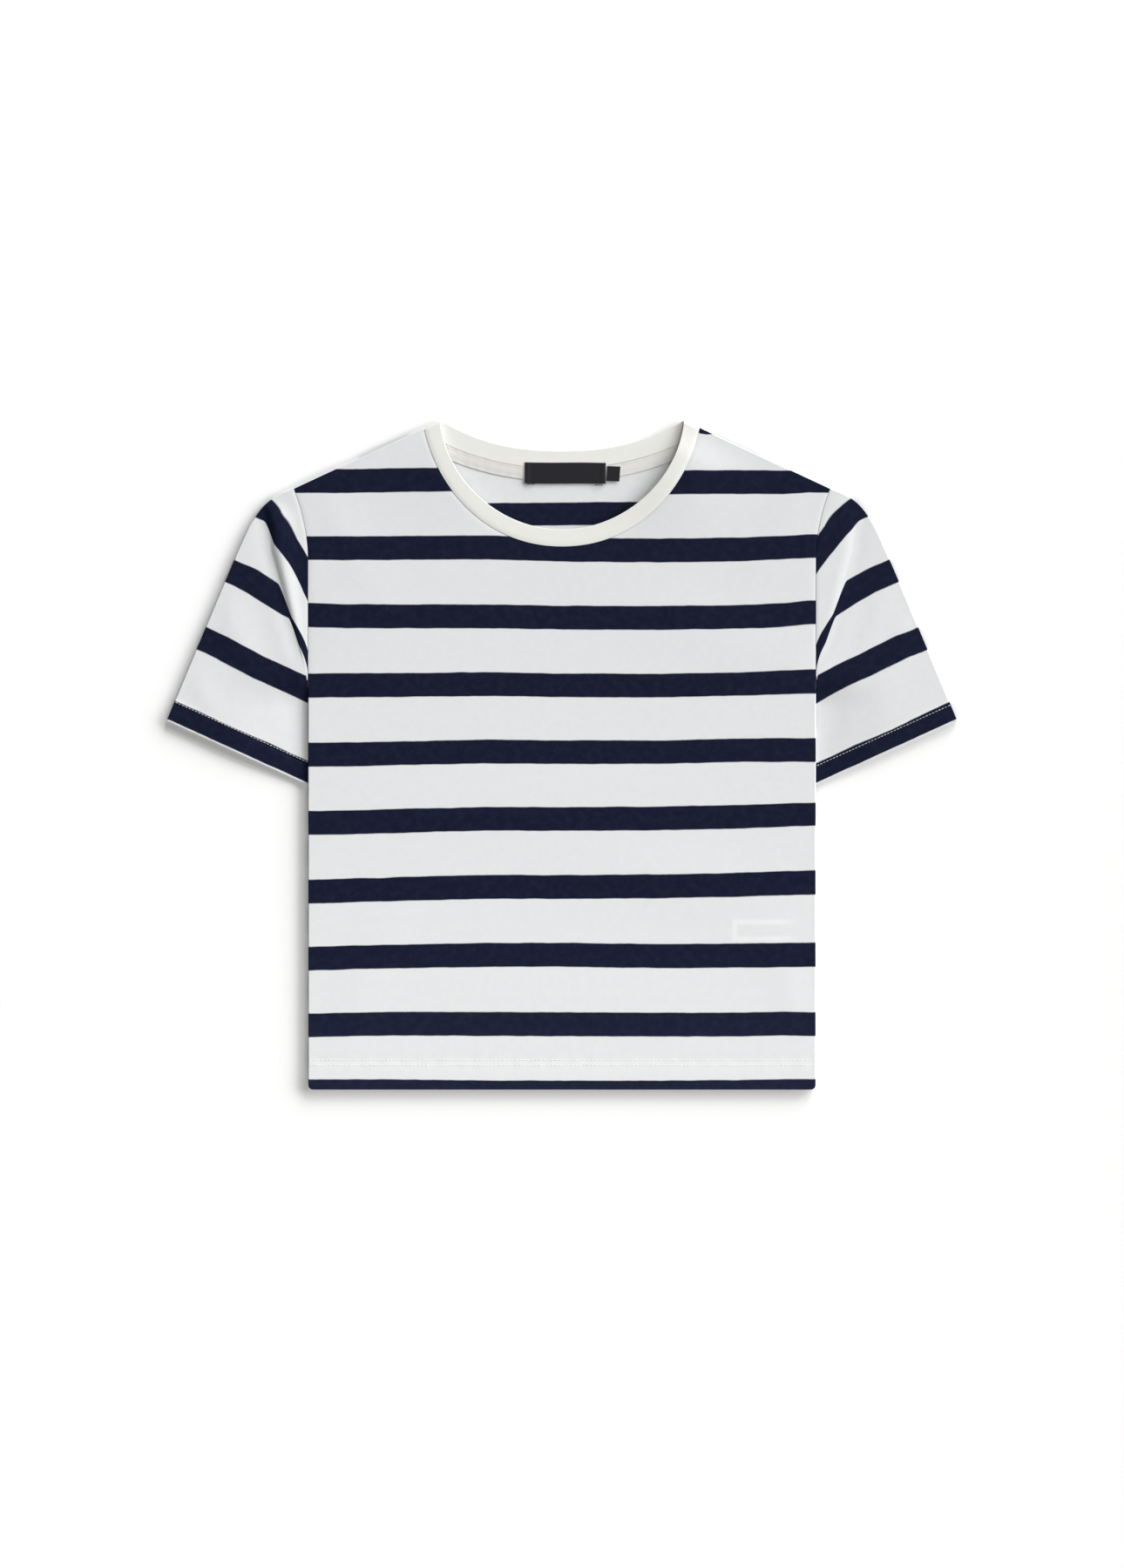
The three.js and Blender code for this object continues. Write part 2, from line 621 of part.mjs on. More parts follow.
const lines = Object.fromEntries(
  Object.entries(NECK_LINES).map(([name, sizes]) => [name, neckLine(sizes)]),
);

const cropTop = new THREE.Group();
cropTop.add(named("front", panel(lines.frontSeam, true), COLOURS.cloth));
cropTop.add(named("back", panel(lines.backSeam, false), COLOURS.cloth));
cropTop.add(named("sleeve_left", sleeve(-1, SLEEVE_FOLDS.left), COLOURS.cloth));
cropTop.add(named("sleeve_right", sleeve(1, SLEEVE_FOLDS.right), COLOURS.cloth));
cropTop.add(named("neckband", neckband(lines), COLOURS.rib));
cropTop.add(named("neck_tape", neckTape(lines.backSeam), COLOURS.tape));
cropTop.add(label("main_label", MAIN_LABEL, COLOURS.label));
cropTop.add(label("size_label", SIZE_LABEL, COLOURS.label));
cropTop.add(label("care_label", CARE_LABEL, COLOURS.care));

export default cropTop;
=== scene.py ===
import math
from functools import partial

import bpy
import numpy as np
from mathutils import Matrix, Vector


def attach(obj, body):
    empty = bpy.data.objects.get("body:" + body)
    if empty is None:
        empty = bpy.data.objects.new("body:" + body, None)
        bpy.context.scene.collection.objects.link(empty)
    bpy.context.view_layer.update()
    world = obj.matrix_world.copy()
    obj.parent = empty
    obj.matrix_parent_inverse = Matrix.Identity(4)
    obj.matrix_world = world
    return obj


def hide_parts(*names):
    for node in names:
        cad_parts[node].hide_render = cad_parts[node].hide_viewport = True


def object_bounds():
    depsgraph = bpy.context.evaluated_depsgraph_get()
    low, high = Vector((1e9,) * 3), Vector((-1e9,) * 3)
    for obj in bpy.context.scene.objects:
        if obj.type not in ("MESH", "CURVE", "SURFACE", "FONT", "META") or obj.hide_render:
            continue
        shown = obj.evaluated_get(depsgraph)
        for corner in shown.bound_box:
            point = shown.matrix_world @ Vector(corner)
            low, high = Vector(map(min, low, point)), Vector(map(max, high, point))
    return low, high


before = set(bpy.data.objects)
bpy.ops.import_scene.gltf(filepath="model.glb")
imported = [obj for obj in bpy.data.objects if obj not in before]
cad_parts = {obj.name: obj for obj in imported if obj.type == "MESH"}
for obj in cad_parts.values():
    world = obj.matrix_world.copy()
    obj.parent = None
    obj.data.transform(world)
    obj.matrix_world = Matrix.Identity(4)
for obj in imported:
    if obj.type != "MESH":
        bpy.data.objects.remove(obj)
cad_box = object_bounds()

# Camera, floor and light
# The garment lies on a white table and is seen straight from above. A wide soft light, made of
# three suns side by side, comes in low from the upper right, and a bright room fills the rest.
VIEW_HEIGHT = 1.2103
VIEW_CENTRE_Y = -0.0224
LENS, SENSOR = 85.0, 36.0
FLOOR_HALF = 40.0
# The table's tone from the nearest y to the farthest one
FLOOR_TONE = {"From Min": -0.6, "From Max": 0.6, "To Min": 0.742, "To Max": 0.955}


def linked(piece):
    bpy.context.scene.collection.objects.link(piece)
    return piece


camera_data = bpy.data.cameras.new("camera")
camera_data.type = "PERSP"
camera_data.lens = LENS
camera_data.sensor_width = SENSOR
camera_data.clip_start = 0.01
camera_data.clip_end = 200.0
camera = linked(bpy.data.objects.new("camera", camera_data))
camera.location = (0.0, VIEW_CENTRE_Y, VIEW_HEIGHT * LENS / SENSOR)
bpy.context.scene.camera = camera


def new_material(name, color, roughness):
    material = bpy.data.materials.new(name)
    material.use_nodes = True
    shader = material.node_tree.nodes["Principled BSDF"]
    shader.inputs["Base Color"].default_value = (*color, 1.0)
    shader.inputs["Roughness"].default_value = roughness
    shader.inputs["Specular IOR Level"].default_value = 0.08
    return material, material.node_tree, shader


def node_in(tree, kind, feeds=None, **settings):
    """A node with its settings made, and its inputs fed by sockets or set to values."""
    node = tree.nodes.new(kind)
    for name, value in settings.items():
        setattr(node, name, value)
    for name, value in (feeds or {}).items():
        if isinstance(value, bpy.types.NodeSocket):
            tree.links.new(value, node.inputs[name])
        else:
            node.inputs[name].default_value = value
    return node


floor_mesh = bpy.data.meshes.new("floor")
floor_mesh.from_pydata(
    [(sx * FLOOR_HALF, sy * FLOOR_HALF, 0.0) for sx, sy in ((-1, -1), (1, -1), (1, 1), (-1, 1))],
    [],
    [(0, 1, 2, 3)],
)
floor = linked(bpy.data.objects.new("floor", floor_mesh))
floor_material, floor_tree, floor_shader = new_material("table_white", (0.97, 0.97, 0.97), 0.9)
floor_shader.inputs["Specular IOR Level"].default_value = 0.0
floor_place = node_in(floor_tree, "ShaderNodeTexCoord").outputs["Object"]
floor_split = node_in(floor_tree, "ShaderNodeSeparateXYZ", {0: floor_place})
floor_tone = node_in(floor_tree, "ShaderNodeMapRange", {"Value": floor_split.outputs["Y"], **FLOOR_TONE})
floor_tree.links.new(floor_tone.outputs["Result"], floor_shader.inputs["Base Color"])
floor_mesh.materials.append(floor_material)

KEY_STRENGTH, KEY_ELEVATION, KEY_AZIMUTHS, KEY_SPREAD = 9.2, 15.5, (8.0, 37.0, 66.0), 22.0
for azimuth in KEY_AZIMUTHS:
    key_data = bpy.data.lights.new("key", "SUN")
    key_data.energy = KEY_STRENGTH / len(KEY_AZIMUTHS)
    key_data.angle = math.radians(KEY_SPREAD)
    key = linked(bpy.data.objects.new("key", key_data))
    key.rotation_euler = (0.0, math.radians(90.0 - KEY_ELEVATION), math.radians(azimuth))

FILL_POWER, FILL_SIZE, FILL_COLOR = 11.0, 1.2, (1.0, 0.985, 0.965)
FILL_PLACE, FILL_TILT = (0.0, -1.3, 1.1), 45.0
fill_data = bpy.data.lights.new("fill", "AREA")
fill_data.shape = "DISK"
fill_data.energy = FILL_POWER
fill_data.color = FILL_COLOR
fill_data.size = FILL_SIZE
fill = linked(bpy.data.objects.new("fill", fill_data))
fill.location = FILL_PLACE
fill.rotation_euler = (math.radians(FILL_TILT), 0.0, 0.0)

ROOM_STRENGTH = 0.20
world = bpy.data.worlds.new("room")
world.use_nodes = True
room_light = world.node_tree.nodes["Background"].inputs
room_light["Color"].default_value = (1.0, 1.0, 1.0, 1.0)
room_light["Strength"].default_value = ROOM_STRENGTH
bpy.context.scene.world = world
bpy.context.scene.view_settings.view_transform = "Standard"

# Front
# The front panel is one piece of striped cotton jersey, cut with half of each armhole, a deep
# round neck and a turned hem. It lies uppermost, and curls down to its side and shoulder seams.
BODY_HALF = 0.1956
HEM_Y = cad_box[0].y
NECK_POINT_X, NECK_POINT_Y = 0.094, cad_box[1].y
NECK_SEAM_X = 0.1062
SHOULDER_DROP = 0.467
ARMHOLE_TOP_Y, ARMHOLE_BEND_Y, ARMPIT_Y = 0.2056, 0.150, 0.060
ARMHOLE_FLARE = 0.0112
HEM_CORNER = 0.0034
CLOTH = 0.0007
BODY_HEIGHT = 0.004
FOLD_REACH = 0.0006
SEAM_GAP = 0.00012
SEAM_SINK, SEAM_SINK_WIDTH = 0.00012, 0.0011
HEM_DEPTH, HEM_EXTRA, HEM_STEP = 0.021, 0.0006, 0.0014
EDGE_ROUND, EDGE_THIN = 0.0005, 0.0004
TUCK_LIFT, TUCK_BODY = 0.0022, 0.0018
# How far short of a tucked sleeve's underarm and hem the body starts to rise, and is fully up
TUCK_UNDERARM, TUCK_HEM, TUCK_TOP_Y = (-0.046, -0.016), (-0.042, -0.014), 0.047
UNDERARM_OUT = (0.1959, 0.050)
SLEEVE_HEM_HIDDEN = (0.1644, -0.0378)
SLEEVE_HEM = (cad_box[1].x, 0.0261)

# Each neck line of the right half: level at centre_y as far as level_x, then up to the neck point
NECK_LINES = {
    "front_edge": dict(centre_y=0.1738, level_x=0.0475, pull=(0.0895, 0.2114), end_x=NECK_POINT_X),
    "front_seam": dict(centre_y=0.1606, level_x=0.0589, pull=(0.0968, 0.2057), end_x=NECK_SEAM_X),
    "back_edge": dict(centre_y=0.2345, level_x=0.0552, pull=(0.0764, 0.2494), end_x=NECK_POINT_X),
    "back_seam": dict(centre_y=0.2208, level_x=0.0525, pull=(0.0975, 0.2393), end_x=NECK_SEAM_X),
}

# Soft folds: x and y of the middle, turn from +X in degrees, half length, half width and rise
FRONT_FOLDS = (
    (-0.120, 0.118, 24, 0.095, 0.026, 0.00028),
    (0.112, 0.096, -20, 0.090, 0.024, 0.00024),
    (-0.040, -0.030, 6, 0.120, 0.034, 0.00024),
    (0.096, -0.100, -12, 0.080, 0.026, 0.00028),
    (-0.150, -0.170, 68, 0.060, 0.016, 0.00024),
    (0.176, -0.178, -70, 0.050, 0.014, 0.00021),
    (0.010, -0.190, 2, 0.140, 0.030, 0.00017),
    (-0.168, 0.168, -62, 0.046, 0.015, 0.00024),
    (0.166, 0.172, 60, 0.046, 0.015, 0.00021),
)
# How far in from the side, the shoulder and the hem the folds reach their full height
FADE_SIDE, FADE_SHOULDER, FADE_HEM = 0.022, 0.018, 0.030
COLLAR_RISES = (
    dict(x=0.086, y=0.222, reach=0.044, rise=0.0018),
    dict(x=-0.086, y=0.222, reach=0.036, rise=0.0006),
)
COLLAR_RISE_RUN = 0.026

# Stripes of the front: the top edge of the highest whole navy stripe and, for each stripe's y, how
# far it hangs below its even place, in millimetres, from the left edge to the right one
STRIPE_REPEAT, STRIPE_WIDTH, STRIPE_TOP_FRONT = 0.05238, 0.0185, 0.22085
BEND_COLUMNS = (-0.193, -0.165, -0.125, -0.058, 0.0, 0.077, 0.137, 0.171, 0.191)
STRIPE_BENDS = {
    -0.2504: (-0.4, -0.5, -0.4, 0.4, 0.5, 0.5, 0.0, -0.6, -0.6),
    -0.2071: (1.2, 0.5, -0.2, 0.1, 0.3, 0.6, 0.5, -0.2, 0.3),
    -0.1547: (2.3, 1.2, 0.4, -0.8, -0.9, 0.2, -0.1, -0.5, -0.8),
    -0.1023: (2.9, 2.0, 0.9, -0.9, -0.7, -1.3, -2.5, -3.8, -4.2),
    -0.0499: (2.3, 1.9, 0.7, -1.0, -0.8, -1.3, -2.6, -3.9, -4.7),
    0.0025: (2.1, 1.8, 1.0, -0.4, 0.1, 0.1, -1.4, -1.5, -1.4),
    0.0548: (1.2, 0.8, 0.7, 0.0, 1.0, 1.2, 0.0, -1.3, -2.0),
    0.1072: (-1.0, 0.1, 0.2, 0.2, 1.2, 1.4, 0.6, -0.8, -3.2),
    0.1596: (0.0, 0.0, -0.2, -0.6, 1.2, 1.8, 1.0, -0.6, -1.7),
    0.2120: (0.7, 0.7, -0.1, -0.9, 0.5, 1.8, 1.4, 1.8, 0.6),
}


def smooth(start, end, value):
    t = np.clip((value - start) / (end - start), 0.0, 1.0)
    return t * t * (3.0 - 2.0 * t)


def mix(a, b, share):
    return a + (b - a) * share


def fold_out(distance, reach):
    return 1.0 - np.clip(distance, 0.0, reach) / reach


def fold_rise(distance, reach):
    return np.sqrt(1.0 - fold_out(distance, reach) ** 2)


def shoulder_y(x):
    return NECK_POINT_Y - SHOULDER_DROP * (np.abs(x) - NECK_POINT_X)


SHOULDER_NORMAL = np.array((SHOULDER_DROP, 1.0)) / math.hypot(SHOULDER_DROP, 1.0)


def shoulder_distance(x, y):
    return (shoulder_y(x) - y) * SHOULDER_NORMAL[1]


def side_x(y):
    flare = np.maximum(0.0, y - ARMHOLE_BEND_Y) / (ARMHOLE_TOP_Y - ARMHOLE_BEND_Y)
    corner = np.clip(HEM_CORNER - (y - HEM_Y), 0.0, HEM_CORNER) / HEM_CORNER
    return BODY_HALF + ARMHOLE_FLARE * flare**2 - HEM_CORNER * (1.0 - np.sqrt(1.0 - corner**2))


def neck_point(line, step):
    """Places on a neck line of the right half, for steps from 0 at the centre to 1."""
    sizes = NECK_LINES[line]
    centre_y, end_x = sizes["centre_y"], sizes["end_x"]
    corners = ((0.0, centre_y), (sizes["level_x"], centre_y), sizes["pull"], (end_x, shoulder_y(end_x)))
    a, b, c, d = np.array(corners)
    t = np.asarray(step, float)[..., None]
    away = 1.0 - t
    return away**3 * a + 3 * away**2 * t * b + 3 * away * t**2 * c + t**3 * d


def folds_height(folds, x, y):
    height = np.zeros_like(x)
    for fold_x, fold_y, turn, length, width, rise in folds:
        turn = math.radians(turn)
        along = (x - fold_x) * math.cos(turn) + (y - fold_y) * math.sin(turn)
        across = (y - fold_y) * math.cos(turn) - (x - fold_x) * math.sin(turn)
        height += rise * np.exp(-((along / length) ** 2) - (across / width) ** 2)
    return height


def tuck_share(x, y):
    """How far the body lies on a tucked sleeve, from 0 beside it to 1 on it."""
    out = np.abs(x)
    run = (y - SLEEVE_HEM_HIDDEN[1]) / (UNDERARM_OUT[1] - SLEEVE_HEM_HIDDEN[1])
    inwards = smooth(*TUCK_UNDERARM, out - mix(SLEEVE_HEM_HIDDEN[0], UNDERARM_OUT[0], run))
    reach = (out - SLEEVE_HEM_HIDDEN[0]) / (SLEEVE_HEM[0] - SLEEVE_HEM_HIDDEN[0])
    downwards = smooth(*TUCK_HEM, y - mix(SLEEVE_HEM_HIDDEN[1], SLEEVE_HEM[1], reach))
    return inwards * smooth(ARMPIT_Y, TUCK_TOP_Y, y) * downwards


def front_relief(x, y):
    fade = smooth(0.0, COLLAR_RISE_RUN, shoulder_distance(x, y))
    rise = np.zeros_like(x)
    for bump in COLLAR_RISES:
        away = np.hypot(x - bump["x"], y - bump["y"]) / bump["reach"]
        rise += bump["rise"] * np.exp(-(away**2)) * fade
    inside = smooth(0.0, FADE_SIDE, side_x(y) - np.abs(x))
    inside = inside * smooth(0.0, FADE_SHOULDER, shoulder_distance(x, y))
    return rise + folds_height(FRONT_FOLDS, x, y) * inside * smooth(HEM_Y, HEM_Y + FADE_HEM, y)


def line_distance(x, y, points):
    """Distance of each place to a line of points."""
    best = np.full(x.shape, 1.0)
    for a, b in zip(points[:-1], points[1:]):
        run = b - a
        t = np.clip(((x - a[0]) * run[0] + (y - a[1]) * run[1]) / (run @ run), 0.0, 1.0)
        best = np.minimum(best, np.hypot(x - a[0] - t * run[0], y - a[1] - t * run[1]))
    return best


def hump(distance, width):
    return np.exp(-((distance / width) ** 2))


def seam_dip(distance):
    """How far cloth sinks beside a seam."""
    return SEAM_SINK * hump(distance, SEAM_SINK_WIDTH)


def bend_at(x, y, columns, table):
    """How far stripes stray from their even place, between the places of a table."""
    bends = np.array([np.interp(x, columns, row) for row in table.values()]) * 0.001
    levels = np.array(list(table))
    place = np.clip(np.searchsorted(levels, y) - 1, 0, len(levels) - 2)
    share = smooth(0.0, 1.0, (y - levels[place]) / (levels[place + 1] - levels[place]))
    below = np.take_along_axis(bends, place[None], 0)[0]
    above = np.take_along_axis(bends, place[None] + 1, 0)[0]
    return mix(below, above, share)


RIM_ANGLE = math.radians(52.0)
EDGE_INSETS = np.array((0.0, 0.04, 0.11, 0.21, 0.35, 0.53, 0.72, 0.9)) * 0.001
SHOULDER_COLUMNS, NECK_COLUMNS = 30, 40
LEVEL_ROWS, UPPER_ROWS = 118, 34
CHEST_Y = 0.128
HEM_ROWS = np.array((0.0, 0.2, 0.5, 0.9, 1.5, 2.4, 3.4)) * 0.001
TOP_INSETS = np.array((1.3, 0.9, 0.66, 0.42, 0.22, 0.08, 0.0)) * 0.001


def panel_grid(seam):
    """Places of a body panel's rows and columns, from the hem to the neck and shoulders."""
    across = np.linspace(BODY_HALF - FOLD_REACH, NECK_SEAM_X, SHOULDER_COLUMNS)[1:-1]
    neck = neck_point(seam, np.linspace(1.0, 0.0, NECK_COLUMNS))
    base = np.concatenate((np.full(len(EDGE_INSETS), BODY_HALF), across, neck[:, 0]))
    inset = np.concatenate((EDGE_INSETS, np.zeros(len(across) + len(neck))))
    spread = smooth(NECK_SEAM_X, BODY_HALF, base)

    def column_x(y):
        return base * (1.0 + (side_x(y) / BODY_HALF - 1.0) * spread) - inset

    # Each column meets the shoulder where its own lean brings it, which a few rounds settle
    top = np.full(len(base), ARMHOLE_TOP_Y)
    for _ in range(12):
        top = shoulder_y(column_x(top))
    top[-len(neck):] = neck[:, 1]
    level = np.linspace(HEM_Y + HEM_ROWS[-1], CHEST_Y, LEVEL_ROWS)[1:]
    level = np.concatenate((HEM_Y + HEM_ROWS, level))[:, None] * np.ones_like(base)
    shares = np.linspace(0.0, 1.0, UPPER_ROWS)[1:-1, None]
    upper = mix(CHEST_Y, top - TOP_INSETS[0], shares)
    y = np.concatenate((level, upper, top - TOP_INSETS[:, None]))
    x = column_x(y)
    return np.concatenate((-x, x[:, -2::-1]), 1), np.concatenate((y, y[:, -2::-1]), 1)


def armhole_line(side):
    y = np.linspace(ARMPIT_Y, ARMHOLE_TOP_Y, 40)
    return np.stack((side * side_x(y), y), 1)


def panel_faces(x, y, is_front, relief):
    """Outer and inner points of a panel, which curls to half the body's height at its folds."""
    tuck = tuck_share(x, y)
    half = mix(BODY_HEIGHT, TUCK_BODY, tuck) / 2
    middle = TUCK_LIFT * tuck + half
    below = smooth(ARMPIT_Y + 0.004, ARMPIT_Y - 0.010, y)
    side_out = side_x(y) - np.abs(x)
    shoulder = shoulder_distance(x, y)
    rise = mix(1.0, fold_rise(side_out, FOLD_REACH), below) * fold_rise(shoulder, FOLD_REACH)
    hem = smooth(HEM_Y + HEM_DEPTH, HEM_Y + HEM_DEPTH - HEM_STEP, y)
    round_off = 1.0 - np.clip((y - HEM_Y) / EDGE_ROUND, 0.0, 1.0)
    lean = smooth(NECK_SEAM_X, BODY_HALF, np.abs(x))
    faces = []
    for depth in (0.0, 1.0):
        thickness = CLOTH + HEM_EXTRA * hem
        height = half - depth * (thickness - EDGE_THIN * round_off**2)
        if is_front:
            height = height + relief + HEM_EXTRA / 2 * hem - EDGE_THIN * round_off**2
        level = np.maximum(SEAM_GAP / 2, height * rise)
        side_shift = depth * thickness * fold_out(side_out, FOLD_REACH) * below
        top_shift = depth * thickness * fold_out(shoulder, FOLD_REACH)
        out_x = x - np.sign(x) * (side_shift + top_shift * SHOULDER_NORMAL[0] * lean)
        out_y = y - top_shift * mix(1.0 / SHOULDER_NORMAL[1], SHOULDER_NORMAL[1], lean)
        faces.append(np.stack((out_x, out_y, middle + level if is_front else middle - level), -1))
    return faces


def wall_piece(name, faces, uv, tube=False, ring=False):
    """One closed wall from the grids of its outer and inner points, with cloth coordinates as UV.
    A tube's columns join end to end, and a ring's rows do."""
    rows, columns = uv.shape[:2]
    points = np.concatenate([face.reshape(-1, 3) for face in faces])
    places = np.concatenate((uv.reshape(-1, 2), uv.reshape(-1, 2)))
    row, column = np.meshgrid(
        np.arange(rows if ring else rows - 1), np.arange(columns if tube else columns - 1), indexing="ij"
    )

    def quad(*corners):
        ends = [s * rows * columns + (r % rows) * columns + (c % columns) for r, c, s in corners]
        return np.stack(ends, -1).reshape(-1, 4)

    r, c, down, right = row, column, row + 1, column + 1
    quads = [
        quad((r, c, 0), (r, right, 0), (down, right, 0), (down, c, 0)),
        quad((r, c, 1), (down, c, 1), (down, right, 1), (r, right, 1)),
    ]
    if not ring:
        c, right, last = column[0], column[0] + 1, rows - 1
        quads.append(quad((0, c, 0), (0, c, 1), (0, right, 1), (0, right, 0)))
        quads.append(quad((last, c, 0), (last, right, 0), (last, right, 1), (last, c, 1)))
    if not tube:
        r, down, last = row[:, 0], row[:, 0] + 1, columns - 1
        quads.append(quad((r, 0, 0), (down, 0, 0), (down, 0, 1), (r, 0, 1)))
        quads.append(quad((r, last, 0), (r, last, 1), (down, last, 1), (down, last, 0)))
    quads = np.concatenate(quads)
    a, b, c, d = (points[quads[:, i]] for i in range(4))
    if float((np.cross(c - a, d - b) * (a + b + c + d)).sum()) < 0.0:
        quads = quads[:, ::-1]
    mesh = bpy.data.meshes.new(name)
    mesh.from_pydata(points.tolist(), [], quads.tolist())
    layer = mesh.uv_layers.new(name="cloth")
    loops = np.zeros(len(mesh.loops), np.int32)
    mesh.loops.foreach_get("vertex_index", loops)
    layer.data.foreach_set("uv", places[loops].astype(np.float32).ravel())
    mesh.shade_smooth()
    mesh.set_sharp_from_angle(angle=RIM_ANGLE)
    return linked(bpy.data.objects.new(name, mesh))


def ends_of(group, inputs, outputs):
    """The ends of a node group with named sockets. A number makes a float input of that value."""
    for name, kind in inputs.items():
        is_kind = isinstance(kind, str)
        socket_type = "NodeSocket" + (kind if is_kind else "Float")
        made = group.interface.new_socket(name, in_out="INPUT", socket_type=socket_type)
        if not is_kind:
            made.default_value = kind
    for name, kind in outputs.items():
        group.interface.new_socket(name, in_out="OUTPUT", socket_type="NodeSocket" + kind)
    return group.nodes.new("NodeGroupInput").outputs, group.nodes.new("NodeGroupOutput").inputs


def math_node(tree, operation, *values, clamp=False):
    """A math node fed by sockets or numbers, as its output socket."""
    feeds = dict(enumerate(values))
    return node_in(tree, "ShaderNodeMath", feeds, operation=operation, use_clamp=clamp).outputs[0]


def noise_node(tree, place, scale, **feeds):
    feeds = {"Vector": place, "Scale": scale, **feeds}
    return node_in(tree, "ShaderNodeTexNoise", feeds).outputs["Fac"]


def knit_group():
    """Jersey: upright rows of small V-shaped loops. Height is for bump, Lean is how far a course
    runs up or down within a loop, which makes the edge of a stripe uneven, and Cloud is where the
    yarn is thinner."""
    tree = bpy.data.node_groups.new("jersey_knit", "ShaderNodeTree")
    calc = partial(math_node, tree)
    inputs = {"Cloth": "Vector", "Wale": 0.0009, "Course": 0.0007}
    start, end = ends_of(tree, inputs, {"Height": "Float", "Lean": "Float", "Cloud": "Float"})
    split = node_in(tree, "ShaderNodeSeparateXYZ", {0: start["Cloth"]}).outputs
    wales = calc("DIVIDE", split["X"], start["Wale"])
    inside = calc("SUBTRACT", calc("FRACT", wales), 0.5)
    lean = calc("ABSOLUTE", inside)
    courses = calc("DIVIDE", split["Y"], start["Course"])
    slanted = calc("ADD", courses, calc("MULTIPLY", lean, 1.3))
    loop = calc("SINE", calc("MULTIPLY", slanted, 2 * math.pi))
    legs = calc("SINE", calc("MULTIPLY", lean, 2 * math.pi))
    height = calc("MULTIPLY", legs, calc("MULTIPLY_ADD", loop, 0.25, 0.75))
    tree.links.new(height, end["Height"])
    tree.links.new(lean, end["Lean"])
    tree.links.new(noise_node(tree, start["Cloth"], 160.0, Detail=4.0, Roughness=0.65), end["Cloud"])
    return tree


def stripe_group():
    """Even stripes across the cloth's length coordinate: 1 on a stripe and 0 between."""
    tree = bpy.data.node_groups.new("yarn_stripes", "ShaderNodeTree")
    calc = partial(math_node, tree)
    inputs = {"Repeat": STRIPE_REPEAT, "Stripe": STRIPE_WIDTH, "Softness": 0.00035}
    start, end = ends_of(tree, {"Cloth": "Vector", "Lean": 0.0, **inputs}, {"Mask": "Float"})
    length = node_in(tree, "ShaderNodeSeparateXYZ", {0: start["Cloth"]}).outputs["Y"]
    wobble = noise_node(tree, start["Cloth"], 55.0, Detail=3.0)
    waver = calc("MULTIPLY", calc("SUBTRACT", wobble, 0.5), 0.0012)
    steps = calc("MULTIPLY", start["Lean"], 0.0006)
    place = calc("ADD", length, calc("ADD", waver, steps))
    turn = calc("DIVIDE", place, start["Repeat"])
    within = calc("MULTIPLY", calc("FRACT", turn), start["Repeat"])
    rest = calc("SUBTRACT", start["Repeat"], within)
    to_edge = calc("MINIMUM", calc("ABSOLUTE", within), rest)
    to_other = calc("SUBTRACT", start["Stripe"], within)
    inside = calc("MAXIMUM", calc("SIGN", to_other), 0.0)
    nearest = calc("MINIMUM", to_edge, calc("ABSOLUTE", to_other))
    signed = calc("MULTIPLY", nearest, calc("MULTIPLY_ADD", inside, 2.0, -1.0))
    soft = calc("MULTIPLY", start["Softness"], 2.0)
    mask = calc("ADD", calc("DIVIDE", signed, soft), 0.5, clamp=True)
    tree.links.new(mask, end["Mask"])
    return tree


knit_tree = knit_group()
stripe_tree = stripe_group()
CREAM, CREAM_THIN = (0.655, 0.661, 0.667), (0.628, 0.636, 0.645)
# The navy's lighter tone serves both its worn clouds and the painted light towards the hem
NAVY, NAVY_WORN_AND_LIT = (0.0038, 0.0058, 0.0205), (0.0110, 0.0145, 0.0345)
# Where the navy is painted lighter towards the hem, as painted light from below, by the cloth's length
# coordinate
PAINTED_LIGHT_FROM, PAINTED_LIGHT_GAIN = 0.36, 4.0


def mixed(tree, share, first, second):
    """A colour between two colours or sockets."""
    first, second = ((*end, 1.0) if isinstance(end, tuple) else end for end in (first, second))
    feeds = {"Factor": share, 6: first, 7: second}
    return node_in(tree, "ShaderNodeMix", feeds, data_type="RGBA").outputs[2]


def add_bump(tree, shader, height, strength, distance):
    feeds = {"Strength": strength, "Distance": distance, "Height": height}
    tree.links.new(node_in(tree, "ShaderNodeBump", feeds).outputs["Normal"], shader.inputs["Normal"])


def cloth_place(tree):
    return node_in(tree, "ShaderNodeUVMap", uv_map="cloth").outputs["UV"]


def knitted(material_name, color, thin, wale=0.0009):
    """A plain knit in one colour, with faint clouds where the yarn is thinner."""
    material, tree, shader = new_material(material_name, color, 0.88)
    cloth = cloth_place(tree)
    feeds = {"Cloth": cloth, "Wale": wale}
    knit = node_in(tree, "ShaderNodeGroup", feeds, node_tree=knit_tree).outputs
    cloud = math_node(tree, "MULTIPLY_ADD", knit["Cloud"], 2.2, -0.6, clamp=True)
    base = mixed(tree, cloud, color, thin)
    tree.links.new(base, shader.inputs["Base Color"])
    height = math_node(tree, "MULTIPLY_ADD", knit["Cloud"], 1.2, knit["Height"])
    add_bump(tree, shader, height, strength=0.12, distance=0.0003)
    shader.inputs["Sheen Weight"].default_value = 0.03
    shader.inputs["Sheen Roughness"].default_value = 0.5
    return material, tree, shader, cloth, knit, base


# The care label behind the front: its folded rims lighten the cloth over them, less to the right
CARE_SHOWS = dict(x=0.1616, y=-0.1352, width=0.061, depth=0.017, soft=0.0016, rise=0.00005)
CARE_RIM = dict(inside=0.0020, width=0.0056, fade=(0.168, 0.184), color=(0.712, 0.716, 0.716))


